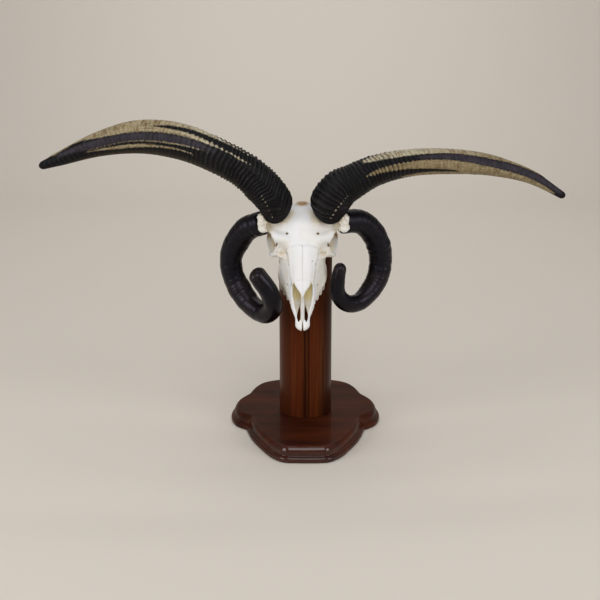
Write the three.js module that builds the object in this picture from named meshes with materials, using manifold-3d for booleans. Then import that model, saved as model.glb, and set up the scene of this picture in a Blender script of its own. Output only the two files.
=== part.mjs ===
// Four-horned ram skull on a turned wooden pedestal, life size.
// Millimetres, +Z up. The origin is the middle of the base's underside; the skull faces -Y.
// Inside the skull group X is across, Y runs from the muzzle tip back to the nape and Z is dorsal,
// and the palate lies in the plane Z = 0.

import * as THREE from 'three';
import { mergeVertices } from 'three/addons/utils/BufferGeometryUtils.js';
import Module from 'manifold-3d';

const wasm = await Module();
wasm.setup();

// ---------------------------------------------------------------- driving dimensions

const GAP = 0.3; // clearance between neighbouring solids
const BASE_HEIGHT = 25;
const COLUMN_DIAMETER = 89;
const COLUMN_CENTRE_Y = 11;
const COLUMN_SIDES = 48;
const COLUMN_UNCUT = 400; // length of the column before its top is cut slanting
const CUTTER_SIZE = 600; // side of the block that takes the column's top off
const SKULL_PITCH = THREE.MathUtils.degToRad(38); // the muzzle hangs down by this much
const SKULL_TIP = new THREE.Vector3(-5.5, -150, 210); // front end of the palate
const SEAT_DEPTH = 4; // the column's slanted top lies this far under the palate plane
const SUTURE = 0.4; // width of the seams between the bones
const ORBIT_SIDES = 14;
const ORBIT_CENTRE = [47, 141, 53.5]; // middle of the right eye socket's rim, in the skull's frame
const ORBIT_FACING = [0.95, -0.2, 0.25];
const HEAD_REACH = 120; // half width that holds the whole skull
const SLIVER = 0.05; // detail finer than this is left out
const SAME_POINT = 1e-4; // points nearer than this are one
const HORN_SIDES = 10;
const HORN_STEP = 15; // spacing of the rings where a horn is smooth
const RING_PITCH = 8.5; // spacing of the growth rings on the upper horns
const RING_HEIGHT = 0.9;
const RINGED_LENGTH = 190; // growth rings fade out this far up an upper horn

// Outline of the base's right half, front to back, in three lobes that meet at cusps.
const FRONT_LOBE = [[0, -169], [20, -168.6], [36, -166], [54, -149], [73.5, -112], [90, -71], [101, -27]];
const SIDE_LOBE = [[101, -27], [120, -7], [130, 27], [126, 66], [109, 101]];
const BACK_LOBE = [[109, 101], [99, 138], [84, 164], [54, 182], [0, 188]];
// Moulded edge of the base from the floor up: [inset, height].
const BASE_EDGE = [
  [2, 0], [0, 3], [0, 6.5], [2, 9], [5, 10], [5.6, 13], [5.6, 16], [7.5, 21], [12, BASE_HEIGHT],
];

// Muzzle and braincase: [distance from the tip, bottom, top, half width below, half width above].
const SKULL_SECTIONS = [
  [0, 2, 8, 3, 3],
  [3.5, 1, 10, 8.5, 7],
  [9, 0.5, 12, 12, 10],
  [20, 2, 16, 12, 10],
  [30, 3, 22, 15.5, 13],
  [40, 3, 31, 20, 16],
  [52, 2, 40, 21, 16],
  [63, 1, 47, 24, 16],
  [75, 0, 54, 29.5, 16.5],
  [87, 0, 60, 34, 17.5],
  [98, 0, 66, 37, 20.5],
  [112, 0, 72, 37, 27],
  [124, 1, 78, 37, 38],
  [138, 2, 85, 32, 45],
  [152, 1, 90, 28, 46],
  [168, 0, 90, 27, 43],
  [184, 2, 87, 30, 36],
  [198, 3, 78, 32, 33],
  [212, 5, 65, 31, 29],
  [223, 10, 51, 25, 24],
  [229, 18, 45, 14, 14],
];

// Horn centre lines and thicknesses, from the skull to the tip.
const UPPER_LEFT = {
  knots: [[-48, -75, 387], [-50.5, -90, 405], [-65.5, -96, 426], [-88.5, -95, 447.5], [-133, -86, 472],
    [-195, -72, 494], [-259, -60, 500], [-323, -54, 488.5], [-386, -56, 466], [-419, -60, 454]],
  across: [47, 58, 61, 58.5, 57, 57, 52, 38, 21.5, 11],
  deep: [54, 54, 48, 43, 40, 38, 34, 27, 18, 10],
  ringed: true,
};
const UPPER_RIGHT = {
  knots: [[36, -75, 387], [39, -90, 405], [51.5, -95, 423.5], [74, -91, 436], [108, -78, 450.5],
    [163, -60, 460], [228, -44, 460.5], [294, -32, 453.5], [361, -24, 434], [420, -20, 401]],
  across: [50, 64, 63, 55, 48, 41, 38, 31.5, 21, 11],
  deep: [56, 56, 54, 52, 52, 52, 48, 38, 22, 10],
  ringed: true,
};
const LATERAL_LEFT = {
  knots: [[-69, -71, 367], [-93.5, -55, 355], [-109.5, -42, 333.5], [-121.5, -32, 306], [-120, -30, 277],
    [-107, -36, 249.5], [-87.5, -50, 226.5], [-66, -70, 219.5], [-53, -91, 237], [-58, -104, 262],
    [-70.5, -110, 283], [-82, -113, 300]],
  across: [38, 41, 42, 37, 36, 38.5, 34.5, 33, 31.5, 30.5, 31, 29.5],
  deep: [38, 38, 37, 36, 36, 36, 36, 35, 33, 30, 27, 21],
  ringed: false,
};
const LATERAL_RIGHT = {
  knots: [[58, -70, 369], [86, -54, 366], [106, -41, 348.5], [119, -32, 322], [122.5, -28, 295],
    [117.5, -32, 269], [103, -42, 247], [85, -57, 234], [65, -73, 237], [51.5, -83, 254],
    [50.5, -87, 277], [56, -88, 306]],
  across: [38, 41, 42, 41, 38, 37, 34, 27, 24, 22, 22.5, 19],
  deep: [38, 38, 38, 38, 36, 35, 32, 30, 28, 26, 23, 18],
  ringed: false,
};

// Seams between the bones in side view, as [y, z].
const TIP_SEAM = [[46, -20], [46, 8], [53, 24], [65, 42]];
const NOSE_SEAM = [[20, 22], [37, 29.5], [64, 41], [84, 50.5], [107, 62], [113, 64], [113, 120]];
const BROW_SEAM = [[64, 41], [84, 50.5], [107, 62], [118, 52], [126, 34], [136, 14], [138, -20]];
const CROWN_SEAM = [[126, 34], [150, 40], [178, 62], [198, 104], [198, 120]];
const CHEEK_OUTLINE = [[104, 10], [140, 8], [176, 24], [176, 54], [150, 52], [122, 42], [102, 26]];
const CHEEK_DEPTH = 31; // the cheek bone lies outside this half width

// Cheek teeth, small ones in front: [place from the tip, length, distance from the middle, width].
const TEETH = [
  [64, 8, 17, 7], [73, 9, 21.5, 8.5], [83, 9.5, 26, 10],
  [94.5, 13, 29.5, 12], [108.5, 14.5, 31, 12.5], [123.5, 15, 31, 12],
];
const TOOTH_CROWN = 9;
const TOOTH_ROOT = 15;
const TOOTH_SIDES = 8;
const TOOTH_BULGE = 1.08; // brings the flat-sided crown out to its full width

const finish = (color, roughness) => () => (
  new THREE.MeshStandardMaterial({ color, roughness, metalness: 0 })
);
const lacqueredWood = finish(0x4a2c20, 0.25);
const satinWood = finish(0x4f2817, 0.4);
const bleachedBone = finish(0xf1ece0, 0.6);
const streakedHorn = finish(0x4b4136, 0.5);
const blackHorn = finish(0x1f1d1e, 0.4);

// ---------------------------------------------------------------- solids and cuts

/** Turns a closed three.js geometry into a solid that can be joined and cut. */
function solidFrom(geometry) {
  geometry.deleteAttribute('normal');
  geometry.deleteAttribute('uv');
  const merged = mergeVertices(geometry, SAME_POINT);
  return new wasm.Manifold(new wasm.Mesh({
    numProp: 3,
    vertProperties: new Float32Array(merged.attributes.position.array),
    triVerts: new Uint32Array(merged.index.array),
  }));
}

/** Keeps the largest body of a solid and drops crumbs and slivers that a cut has left. */
function largestBody(solid) {
  const bodies = solid.simplify(SLIVER).decompose();
  return bodies.reduce((best, body) => (body.volume() > best.volume() ? body : best));
}

/** A named mesh from a solid. */
function meshFrom(solid, name, material) {
  const { vertProperties, triVerts } = largestBody(solid).getMesh();
  const geometry = new THREE.BufferGeometry();
  geometry.setAttribute('position', new THREE.BufferAttribute(new Float32Array(vertProperties), 3));
  geometry.setIndex(new THREE.BufferAttribute(new Uint32Array(triVerts), 1));
  geometry.computeVertexNormals();
  const mesh = new THREE.Mesh(geometry, material());
  mesh.name = name;
  return mesh;
}

/** A closed skin over rings of equally many points, each ring counter-clockwise about the way forward. */
function loft(rings) {
  const sides = rings[0].length;
  const last = rings.length - 1;
  const middle = (ring) => ring.reduce((sum, p) => sum.add(p), new THREE.Vector3()).divideScalar(sides);
  const points = [...rings.flat(), middle(rings[0]), middle(rings[last])];
  const startCap = rings.length * sides;
  const triangles = [];
  for (let side = 0; side < sides; side += 1) {
    const next = (side + 1) % sides;
    triangles.push(startCap, next, side);
    triangles.push(startCap + 1, last * sides + side, last * sides + next);
    for (let ring = 0; ring < last; ring += 1) {
      const here = ring * sides;
      const ahead = here + sides;
      triangles.push(here + side, here + next, ahead + next);
      triangles.push(here + side, ahead + next, ahead + side);
    }
  }
  const geometry = new THREE.BufferGeometry().setFromPoints(points);
  geometry.setIndex(triangles);
  return solidFrom(geometry);
}

/** A value from a list spread evenly over 0 to 1, joined by smooth steps of a Catmull-Rom curve. */
function along(list, t) {
  const curve = new THREE.CatmullRomCurve3(list.map((value, i) => new THREE.Vector3(value, i, 0)));
  return curve.getPoint(t).x;
}

/** A box given by its middle, its size and its turn about X. */
function block(centre, size, turn = 0) {
  const geometry = new THREE.BoxGeometry(...size);
  geometry.rotateX(turn);
  geometry.translate(...centre);
  return solidFrom(geometry);
}

/** An ellipsoid with a coarse mesh. */
function ellipsoid(centre, radii) {
  const geometry = new THREE.SphereGeometry(1, 10, 7);
  geometry.scale(...radii);
  geometry.translate(...centre);
  return solidFrom(geometry);
}

/** A round bar of changing thickness through points given as [x, y, z, radius]. */
function bar(stations, sides = 7) {
  const at = (i) => new THREE.Vector3(...stations[i].slice(0, 3));
  const rings = stations.map((station, i) => {
    const way = at(Math.min(i + 1, stations.length - 1)).sub(at(Math.max(i - 1, 0))).normalize();
    const lift = Math.abs(way.z) > 0.9 ? new THREE.Vector3(0, 1, 0) : new THREE.Vector3(0, 0, 1);
    const u = new THREE.Vector3().crossVectors(lift, way).normalize();
    const v = new THREE.Vector3().crossVectors(way, u);
    return Array.from({ length: sides }, (_, k) => {
      const angle = (2 * Math.PI * k) / sides;
      return at(i)
        .addScaledVector(u, station[3] * Math.cos(angle))
        .addScaledVector(v, station[3] * Math.sin(angle));
    });
  });
  return loft(rings);
}

// ---------------------------------------------------------------- pedestal

/** The base's right-hand outline, three smooth lobes, with the mirrored left half added. */
function baseOutline() {
  const lobes = [[FRONT_LOBE, 8], [SIDE_LOBE, 7], [BACK_LOBE, 7]];
  const right = lobes.flatMap(([lobe, steps]) => {
    const curve = new THREE.SplineCurve(lobe.map(([x, y]) => new THREE.Vector2(x, y)));
    return curve.getPoints(steps).slice(0, -1);
  });
  const back = new THREE.Vector2(...BACK_LOBE.at(-1));
  const left = right.slice(1).reverse().map((p) => new THREE.Vector2(-p.x, p.y));
  return [...right, back, ...left];
}

/** The outline drawn in by a distance, each point along the mean normal of its two sides. */
function insetOutline(outline, distance) {
  const count = outline.length;
  return outline.map((point, i) => {
    const before = outline[(i + count - 1) % count];
    const after = outline[(i + 1) % count];
    const way = after.clone().sub(before).normalize();
    return new THREE.Vector2(point.x - way.y * distance, point.y + way.x * distance);
  });
}

function pedestalBase() {
  const outline = baseOutline();
  const rings = BASE_EDGE.map(([inset, height]) =>
    insetOutline(outline, inset).map((p) => new THREE.Vector3(p.x, p.y, height)));
  return loft(rings);
}

/** A round column whose top slants back with the skull's palate. */
function pedestalColumn() {
  const radius = COLUMN_DIAMETER / 2;
  const geometry = new THREE.CylinderGeometry(radius, radius, COLUMN_UNCUT, COLUMN_SIDES);
  geometry.rotateX(Math.PI / 2);
  geometry.translate(0, COLUMN_CENTRE_Y, BASE_HEIGHT + GAP + COLUMN_UNCUT / 2);
  const drop = CUTTER_SIZE / 2 - SEAT_DEPTH;
  const centre = [
    SKULL_TIP.x,
    SKULL_TIP.y - drop * Math.sin(SKULL_PITCH),
    SKULL_TIP.z + drop * Math.cos(SKULL_PITCH),
  ];
  const cutter = block(centre, [CUTTER_SIZE, 2 * CUTTER_SIZE, CUTTER_SIZE], SKULL_PITCH);
  return solidFrom(geometry).subtract(cutter);
}

// ---------------------------------------------------------------- horns

/** Numbers from one value to another in equally wide steps, without the last. */
function spread(from, to, count) {
  return Array.from({ length: count }, (_, i) => from + ((to - from) * i) / count);
}

/** An oval horn along its centre line; grow widens it all round, for the seat it leaves in the skull. */
function hornSolid(horn, grow = 0) {
  const knots = horn.knots.map((knot) => new THREE.Vector3(...knot));
  const path = new THREE.CatmullRomCurve3(knots, false, 'centripetal');
  const length = path.getLength();
  const ringedLength = horn.ringed && grow === 0 ? RINGED_LENGTH : 0;
  const fine = spread(0, ringedLength, Math.round((2 * ringedLength) / RING_PITCH));
  const coarse = spread(ringedLength, length, Math.round((length - ringedLength) / HORN_STEP));
  const wide = new THREE.Vector3(-1, 0, 0);
  const rings = [...fine, ...coarse, length].map((distance, i) => {
    const t = distance / length;
    const fade = Math.max(0, 1 - distance / RINGED_LENGTH);
    const ridge = ringedLength ? (i % 2) * RING_HEIGHT * Math.sqrt(fade) : 0;
    const share = path.getUtoTmapping(t);
    const across = along(horn.across, share) / 2 + ridge + grow;
    const deep = along(horn.deep, share) / 2 + ridge + grow;
    const way = path.getTangentAt(t);
    wide.addScaledVector(way, -wide.dot(way)).normalize();
    const front = new THREE.Vector3().crossVectors(way, wide);
    const centre = path.getPointAt(t);
    if (i === 0) {
      centre.addScaledVector(way, -grow);
    }
    return Array.from({ length: HORN_SIDES }, (_, k) => {
      const angle = (2 * Math.PI * k) / HORN_SIDES;
      return centre.clone()
        .addScaledVector(wide, across * Math.cos(angle))
        .addScaledVector(front, deep * Math.sin(angle));
    });
  });
  return loft(rings);
}

// ---------------------------------------------------------------- skull

/** One ring of the skull's skin: a rounded trapezium across the head. */
function skullRing([y, low, high, halfLow, halfHigh]) {
  const sides = 16;
  const squareness = 0.72;
  const soften = (value) => Math.sign(value) * Math.abs(value) ** squareness;
  return Array.from({ length: sides }, (_, k) => {
    const angle = (2 * Math.PI * k) / sides;
    const up = soften(Math.sin(angle)) / 2 + 0.5;
    const half = THREE.MathUtils.lerp(halfLow, halfHigh, up);
    return new THREE.Vector3(-half * soften(Math.cos(angle)), y, THREE.MathUtils.lerp(low, high, up));
  });
}

/** A shape turned about an eye socket's axis: [radius, distance out past the rim]. */
function orbitLathe(side, profile) {
  const geometry = new THREE.LatheGeometry(points(profile), ORBIT_SIDES);
  const [x, y, z] = ORBIT_FACING;
  const facing = new THREE.Vector3(side * x, y, z).normalize();
  const turn = new THREE.Quaternion().setFromUnitVectors(new THREE.Vector3(0, 1, 0), facing);
  const middle = new THREE.Vector3(side * ORBIT_CENTRE[0], ORBIT_CENTRE[1], ORBIT_CENTRE[2]);
  const place = new THREE.Matrix4().compose(middle, turn, new THREE.Vector3(1, 1, 1));
  return solidFrom(geometry.applyMatrix4(place));
}

/** The eye socket's wall: a deep cup that opens sideways. */
function orbitWall(side) {
  return orbitLathe(side, [
    [0, -30], [14, -30], [24, -15], [24.8, 0], [23.5, 2.5], [20.8, 2.5], [19, 1], [11, -17], [0, -18],
  ]);
}

/** The hollow of the eye socket. */
function orbitHollow(side) {
  return orbitLathe(side, [[0, -18], [11, -16.5], [19, 0], [20.8, 3], [26, 30], [0, 30]]);
}

/** Shelf over the eye, cheek arch, horn stump and the bumps under the braincase on one side. */
function sideBones(side) {
  const across = ([x, ...rest]) => [side * x, ...rest];
  const shelf = bar([[26, 126, 74, 7], [40, 134, 74, 7], [49, 142, 74, 5], [49, 154, 74, 6],
    [38, 162, 76, 8]].map(across));
  const arch = bar([[30, 108, 46, 7], [38, 114, 48, 6], [45, 121, 45, 5], [49.5, 127, 41, 4.6],
    [51, 139, 37, 4.4], [50.5, 152, 37, 4.6], [50.5, 165, 41, 4.6], [46, 182, 44, 5],
    [32, 197, 40, 7]].map(across));
  const cheekBump = ellipsoid(across([30, 104, 15]), [7.5, 22, 11]);
  const stump = bar([[30, 162, 74, 17], [48, 161, 76, 14], [54, 160, 77, 14],
    [64, 160, 77.5, 13]].map(across), HORN_SIDES);
  const stumpKnob = ellipsoid(across([62, 149, 75]), [7.5, 9, 12]);
  const earBulb = ellipsoid(across([19, 196, 5]), [8, 12, 8.7]);
  const napeSpur = bar([[28, 206, 22, 8], [29, 212, 8, 5], [27, 214, -2, 3]].map(across));
  const napeKnob = ellipsoid(across([12, 223, 17]), [10, 9, 10]);
  const wing = bar([[13, 150, 14, 7], [13, 158, 4, 6], [12, 166, -2.5, 5], [12, 180, 2, 6]].map(across));
  return [shelf, arch, cheekBump, stump, stumpKnob, earBulb, napeSpur, napeKnob, wing];
}

/** The cheek teeth of one side, each a short block with a bevelled crown and a root inside the bone. */
function cheekTeeth(side) {
  const levels = [[-TOOTH_CROWN, 0.42, 0.34], [-TOOTH_CROWN + 2, 0.48, 0.46], [TOOTH_ROOT, 0.5, 0.5]];
  return TEETH.map(([y, long, x, wide]) => {
    const rings = levels.map(([z, longShare, wideShare]) =>
      Array.from({ length: TOOTH_SIDES }, (_, k) => {
        const angle = (2 * Math.PI * (k + 0.5)) / TOOTH_SIDES;
        return new THREE.Vector3(
          side * x + Math.cos(angle) * wide * wideShare * TOOTH_BULGE,
          y + Math.sin(angle) * long * longShare * TOOTH_BULGE,
          z,
        );
      }));
    return loft(rings);
  });
}

/** The two arched nose bones with their free, pointed ends. */
function noseBones() {
  const stations = [
    [40.5, 37.5, 1.5], [46, 41, 3.6], [53, 45, 8], [60, 48.8, 11.8], [66, 51.5, 12.4], [84, 60.5, 13.2],
    [104, 70.5, 13.2],
  ];
  const thick = 4.5;
  const underside = 0.86; // how wide the underside is beside the top
  const rings = stations.map(([y, top, half]) => {
    const arc = [-1, -0.6, 0, 0.6, 1];
    const drop = (share) => share * share * half * 0.5;
    const upper = arc.map((share) => new THREE.Vector3(share * half, y, top - drop(share)));
    const lower = arc.map((share) =>
      new THREE.Vector3(-share * half * underside, y, top - drop(share) - thick));
    return [...upper.reverse(), ...lower.reverse()].reverse();
  });
  return loft(rings);
}

/** The open nose passage: roofless in front, running in under the nose bones. */
function nosePassage() {
  const stations = [
    [16, 18, 60, 4], [26, 16, 60, 8.5], [40, 14, 60, 13.5],
    [54, 16, 60, 12.5], [66, 23, 44, 9.5], [88, 34, 44, 6],
  ];
  return loft(stations.map(([y, low, high, half]) => skullRing([y, low, high, half * 0.8, half])));
}

/** A closed skin over upright rectangles across the head: [y, middle, half width], between two heights. */
function slot(stations, bottom, top) {
  return loft(stations.map(([y, middle, half]) => [
    new THREE.Vector3(middle - half, y, bottom),
    new THREE.Vector3(middle - half, y, top),
    new THREE.Vector3(middle + half, y, top),
    new THREE.Vector3(middle + half, y, bottom),
  ]));
}

/** The narrow slit through the palate behind the muzzle tip, on one side of the middle. */
function palateSlit(side) {
  const stations = [[13, 5.8, 0.6], [22, 5.9, 2.5], [32, 5.5, 2.3], [45, 4.4, 0.6]];
  return slot(stations.map(([y, middle, half]) => [y, side * middle, half]), -20, 40);
}

/** The whole skull in one piece, before it is parted into bones. */
function wholeSkull() {
  let skull = loft(SKULL_SECTIONS.map(skullRing));
  skull = skull.subtract(nosePassage());
  for (const side of [-1, 1]) {
    for (const bone of [...sideBones(side), orbitWall(side)]) {
      skull = skull.add(bone);
    }
    skull = skull.subtract(orbitHollow(side)).subtract(palateSlit(side));
    for (const tooth of cheekTeeth(side)) {
      skull = skull.add(tooth);
    }
  }
  const pollKnob = ellipsoid([0, 197, 75.5], [13, 7, 5.5]);
  skull = skull.add(noseBones()).add(pollKnob);
  const napeHole = ellipsoid([0, 232, 24], [9, 14, 9]);
  const seatLevel = GAP - SEAT_DEPTH;
  const seatCutter = block([0, 190, seatLevel - 50], [200, 95, 100]);
  const tipNotch = slot([[-3, 0, 2.2], [6, 0, 0.4]], -7, 17);
  return skull.subtract(napeHole).subtract(seatCutter).subtract(tipNotch);
}

/** Pairs of numbers as points. */
function points(pairs) {
  return pairs.map(([a, b]) => new THREE.Vector2(a, b));
}

/** From where to where across the head one half reaches, outside the given half width. */
function sideRange(side, inner) {
  return side < 0 ? [-HEAD_REACH, -inner] : [inner, HEAD_REACH];
}

/** A slab across the head whose side view is the given outline. */
function sideSlab(outline) {
  const shape = new THREE.Shape(outline);
  const geometry = new THREE.ExtrudeGeometry(shape, { depth: 2 * HEAD_REACH, bevelEnabled: false });
  geometry.translate(0, 0, -HEAD_REACH);
  const turn = new THREE.Matrix4().makeBasis(
    new THREE.Vector3(0, 1, 0),
    new THREE.Vector3(0, 0, 1),
    new THREE.Vector3(1, 0, 0),
  );
  return solidFrom(geometry.applyMatrix4(turn));
}

/** A saw cut along a line of [y, z] points, right across the head. */
function sutureCut(line) {
  const normals = line.map((_, i) => {
    const a = new THREE.Vector2(...line[Math.max(i - 1, 0)]);
    const b = new THREE.Vector2(...line[Math.min(i + 1, line.length - 1)]);
    const way = b.sub(a).normalize();
    return [-way.y * SUTURE / 2, way.x * SUTURE / 2];
  });
  const shifted = (sign) => line.map(([y, z], i) => [y + sign * normals[i][0], z + sign * normals[i][1]]);
  return sideSlab(points([...shifted(-1), ...shifted(1).reverse()]));
}

/** The region of one bone: an outline in side view, limited across the head. */
function region(outline, from, to) {
  const width = to - from;
  return sideSlab(outline).intersect(block([(from + to) / 2, 100, 60], [width, 500, 400]));
}

/** Parts the whole skull along its seams into named bones. */
function skullBones() {
  const cuts = [TIP_SEAM, NOSE_SEAM, BROW_SEAM, CROWN_SEAM].map(sutureCut);
  const premaxilla = [[-20, -20], ...TIP_SEAM.slice(0, 3), ...NOSE_SEAM.slice(0, 3).reverse(), [-20, 22]];
  const nose = [...NOSE_SEAM, [20, 120]];
  const maxilla = [...TIP_SEAM.slice(0, 3), ...BROW_SEAM];
  const face = [[107, 62], [113, 64], [113, 120], ...[...CROWN_SEAM].reverse(), [118, 52]];
  const crown = [...CROWN_SEAM, [260, 120], [260, -20], [138, -20], [136, 14]];
  const cheekGrown = insetOutline(points(CHEEK_OUTLINE), -SUTURE);
  const cheekRoom = [-1, 1].map((side) => region(cheekGrown, ...sideRange(side, CHEEK_DEPTH - SUTURE)));
  const skull = wholeSkull();
  const bones = [];
  const take = (name, outline, range = [-HEAD_REACH, HEAD_REACH]) => {
    const bone = skull.intersect(region(points(outline), ...range));
    bones.push([name, [...cuts, ...cheekRoom].reduce((rest, cut) => rest.subtract(cut), bone)]);
  };
  for (const [label, side] of [['left', -1], ['right', 1]]) {
    const half = sideRange(side, SUTURE / 2);
    take(`skull_premaxilla_${label}`, premaxilla, half);
    take(`skull_nasal_${label}`, nose, half);
    take(`skull_maxilla_${label}`, maxilla, half);
    const cheek = region(points(CHEEK_OUTLINE), ...sideRange(side, CHEEK_DEPTH));
    bones.push([`skull_zygomatic_${label}`, skull.intersect(cheek)]);
  }
  take('skull_frontal', face);
  take('skull_braincase', crown);
  return bones;
}

// ---------------------------------------------------------------- assembly

const part = new THREE.Group();
part.add(meshFrom(pedestalBase(), 'pedestal_base', lacqueredWood));
part.add(meshFrom(pedestalColumn(), 'pedestal_column', satinWood));

const horns = [
  ['horn_upper_left', UPPER_LEFT, streakedHorn],
  ['horn_upper_right', UPPER_RIGHT, streakedHorn],
  ['horn_lateral_left', LATERAL_LEFT, blackHorn],
  ['horn_lateral_right', LATERAL_RIGHT, blackHorn],
];
for (const [name, horn, material] of horns) {
  part.add(meshFrom(hornSolid(horn), name, material));
}

const skullGroup = new THREE.Group();
skullGroup.position.copy(SKULL_TIP);
skullGroup.rotation.x = SKULL_PITCH;
skullGroup.updateMatrix();
const intoSkull = skullGroup.matrix.clone().invert();
const seats = horns.map(([, horn]) => {
  const seat = hornSolid(horn, RING_HEIGHT + GAP);
  return seat.transform(intoSkull.elements);
});
for (const [name, bone] of skullBones()) {
  const seated = seats.reduce((rest, seat) => rest.subtract(seat), bone);
  skullGroup.add(meshFrom(seated, name, bleachedBone));
}
part.add(skullGroup);

export default part;
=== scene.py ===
"""A four-horned ram's skull on a dark, laminated wooden pedestal, life size.

The skull is worked out as one block of distances on an even grid and then parted along its seams into
bones. The horns are swept along their centre lines with their growth rings cut into the surface.
"""

import logging
import math
from dataclasses import dataclass, field
from enum import Enum
from typing import Callable, Sequence

import bpy
import numpy as np
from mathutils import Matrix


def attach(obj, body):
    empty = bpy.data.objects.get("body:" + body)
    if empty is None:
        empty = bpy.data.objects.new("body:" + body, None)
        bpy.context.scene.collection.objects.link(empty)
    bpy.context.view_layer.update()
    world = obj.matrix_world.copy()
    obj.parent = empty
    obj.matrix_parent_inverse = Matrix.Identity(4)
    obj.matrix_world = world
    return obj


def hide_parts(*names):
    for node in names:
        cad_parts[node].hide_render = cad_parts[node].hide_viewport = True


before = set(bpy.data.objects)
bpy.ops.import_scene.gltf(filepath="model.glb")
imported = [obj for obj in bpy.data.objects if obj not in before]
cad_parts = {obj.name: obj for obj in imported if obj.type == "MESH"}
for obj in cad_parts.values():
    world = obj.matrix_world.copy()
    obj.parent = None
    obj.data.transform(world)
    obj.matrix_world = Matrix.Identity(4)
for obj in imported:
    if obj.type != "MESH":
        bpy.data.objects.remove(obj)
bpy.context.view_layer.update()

LOG = logging.getLogger("ram_skull")
MM = 0.001
BODY = "root"

# The skull's own frame: millimetres across, along from the muzzle's tip and up from the palate.
SKULL_PITCH = math.radians(38.0)
SKULL_TIP = np.array([-5.5, -150.0, 210.0])
FULL_CELL = 1.0
QUICK_CELL = 2.0
# Half the width of a streak's soft edge, and a distance that is surely outside.
EDGE_WIDTH = 2.2
FAR = 1e3

# Lowest and highest corner.
Box = tuple[Sequence[float], Sequence[float]]
# Distances of places, given across, along and up, from a surface; negative inside.
Shape = Callable[[np.ndarray, np.ndarray, np.ndarray], np.ndarray]
# A value's low and high end, and what they turn into where that isn't 0 and 1.
Range = tuple[float, ...]
Tree = bpy.types.NodeTree
Socket = bpy.types.NodeSocket


class Slot(Enum):
    """The record's material slots."""

    BASE = "base_wood"
    COLUMN = "column_wood"
    BONE = "bone"
    UPPER_HORN = "upper_horn"
    LATERAL_HORN = "lateral_horn"


class Side(Enum):
    """The two halves of the head, as the sign of X."""

    LEFT = -1
    RIGHT = 1

    @property
    def label(self) -> str:
        """The word used in the names of pieces."""
        return self.name.lower()


# ---------------------------------------------------------------- shared helpers


def linear(colour: str) -> tuple[float, float, float, float]:
    """Turns an sRGB hex colour into linear light.

    Args:
        colour: six hex digits after a hash sign.

    Returns:
        Red, green, blue and full opacity.
    """
    parts = [int(colour[i : i + 2], 16) / 255.0 for i in (1, 3, 5)]
    light = [c / 12.92 if c <= 0.04045 else ((c + 0.055) / 1.055) ** 2.4 for c in parts]
    return (light[0], light[1], light[2], 1.0)


def rise(value: np.ndarray, low: float, high: float) -> np.ndarray:
    """Rises smoothly from 0 to 1 between two values."""
    t = np.clip((value - low) / (high - low), 0.0, 1.0)
    return t * t * (3.0 - 2.0 * t)


def fall(value: np.ndarray, low: float, high: float) -> np.ndarray:
    """Falls smoothly from 1 to 0 between two values."""
    return 1.0 - rise(value, low, high)


def soft_least(first: np.ndarray, second: np.ndarray, soft: float) -> np.ndarray:
    """The lesser of two distances, with a softened corner where they are alike.

    Args:
        first: distances from one shape.
        second: distances from the other.
        soft: width of the softened corner, or 0 for a sharp one.

    Returns:
        Distances from both shapes together.
    """
    both = np.minimum(first, second)
    if soft > 0:
        near = np.maximum(soft - np.abs(first - second), 0.0)
        both = both - near * near / (4 * soft)
    return both


def through(knots: Sequence[float], values: Sequence[float], at: np.ndarray) -> np.ndarray:
    """A smooth curve through values at rising knots.

    Args:
        knots: rising places.
        values: the value at each place.
        at: where the curve is wanted.

    Returns:
        The curve's value at each wanted place, held level past both ends.
    """
    x = np.asarray(knots, dtype=float)
    y = np.asarray(values, dtype=float)
    slope = np.diff(y) / np.diff(x)
    tangent = np.zeros_like(y)
    same = slope[1:] * slope[:-1] > 0
    mean = 2.0 * slope[1:] * slope[:-1] / np.where(same, slope[1:] + slope[:-1], 1.0)
    tangent[1:-1] = np.where(same, mean, 0.0)
    tangent[0] = slope[0]
    tangent[-1] = slope[-1]
    place = np.clip(at, x[0], x[-1])
    i = np.clip(np.searchsorted(x, place) - 1, 0, len(x) - 2)
    width = x[i + 1] - x[i]
    t = (place - x[i]) / width
    start = y[i] * (1 + 2 * t) * (1 - t) ** 2 + tangent[i] * width * t * (1 - t) ** 2
    end = y[i + 1] * t * t * (3 - 2 * t) + tangent[i + 1] * width * t * t * (t - 1)
    return start + end


def along_head(stations: Sequence[Sequence[float]], y: np.ndarray) -> list[np.ndarray]:
    """Smooth curves along the head through the columns of a table.

    Args:
        stations: rows of a place along the head and the values there.
        y: places along the head, shaped to combine with those across and up.

    Returns:
        One array for each value, shaped as the places are.
    """
    place, *columns = zip(*stations)
    return [through(place, column, y.ravel())[None, :, None].astype(np.float32) for column in columns]


def curve_points(knots: Sequence[Sequence[float]], steps: int) -> np.ndarray:
    """A centripetal Catmull-Rom curve through points.

    Args:
        knots: the points it passes through.
        steps: how many steps between two knots.

    Returns:
        The points of the curve, in order, both ends included.
    """
    p = np.asarray(knots, dtype=float)
    p = np.vstack([2 * p[0] - p[1], p, 2 * p[-1] - p[-2]])
    t = np.linspace(0.0, 1.0, steps, endpoint=False)[:, None]
    spans = []
    for a, b, c, d in zip(p[:-3], p[1:-2], p[2:-1], p[3:]):
        ab, bc, cd = (math.sqrt(np.linalg.norm(v)) for v in (b - a, c - b, d - c))
        start = ((b - a) / ab - (c - a) / (ab + bc) + (c - b) / bc) * bc
        end = ((c - b) / bc - (d - b) / (bc + cd) + (d - c) / cd) * bc
        cubic = 2 * b - 2 * c + start + end
        square = 3 * (c - b) - 2 * start - end
        spans.append(((cubic * t + square) * t + start) * t + b)
    return np.vstack([*spans, p[-2][None]])


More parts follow.
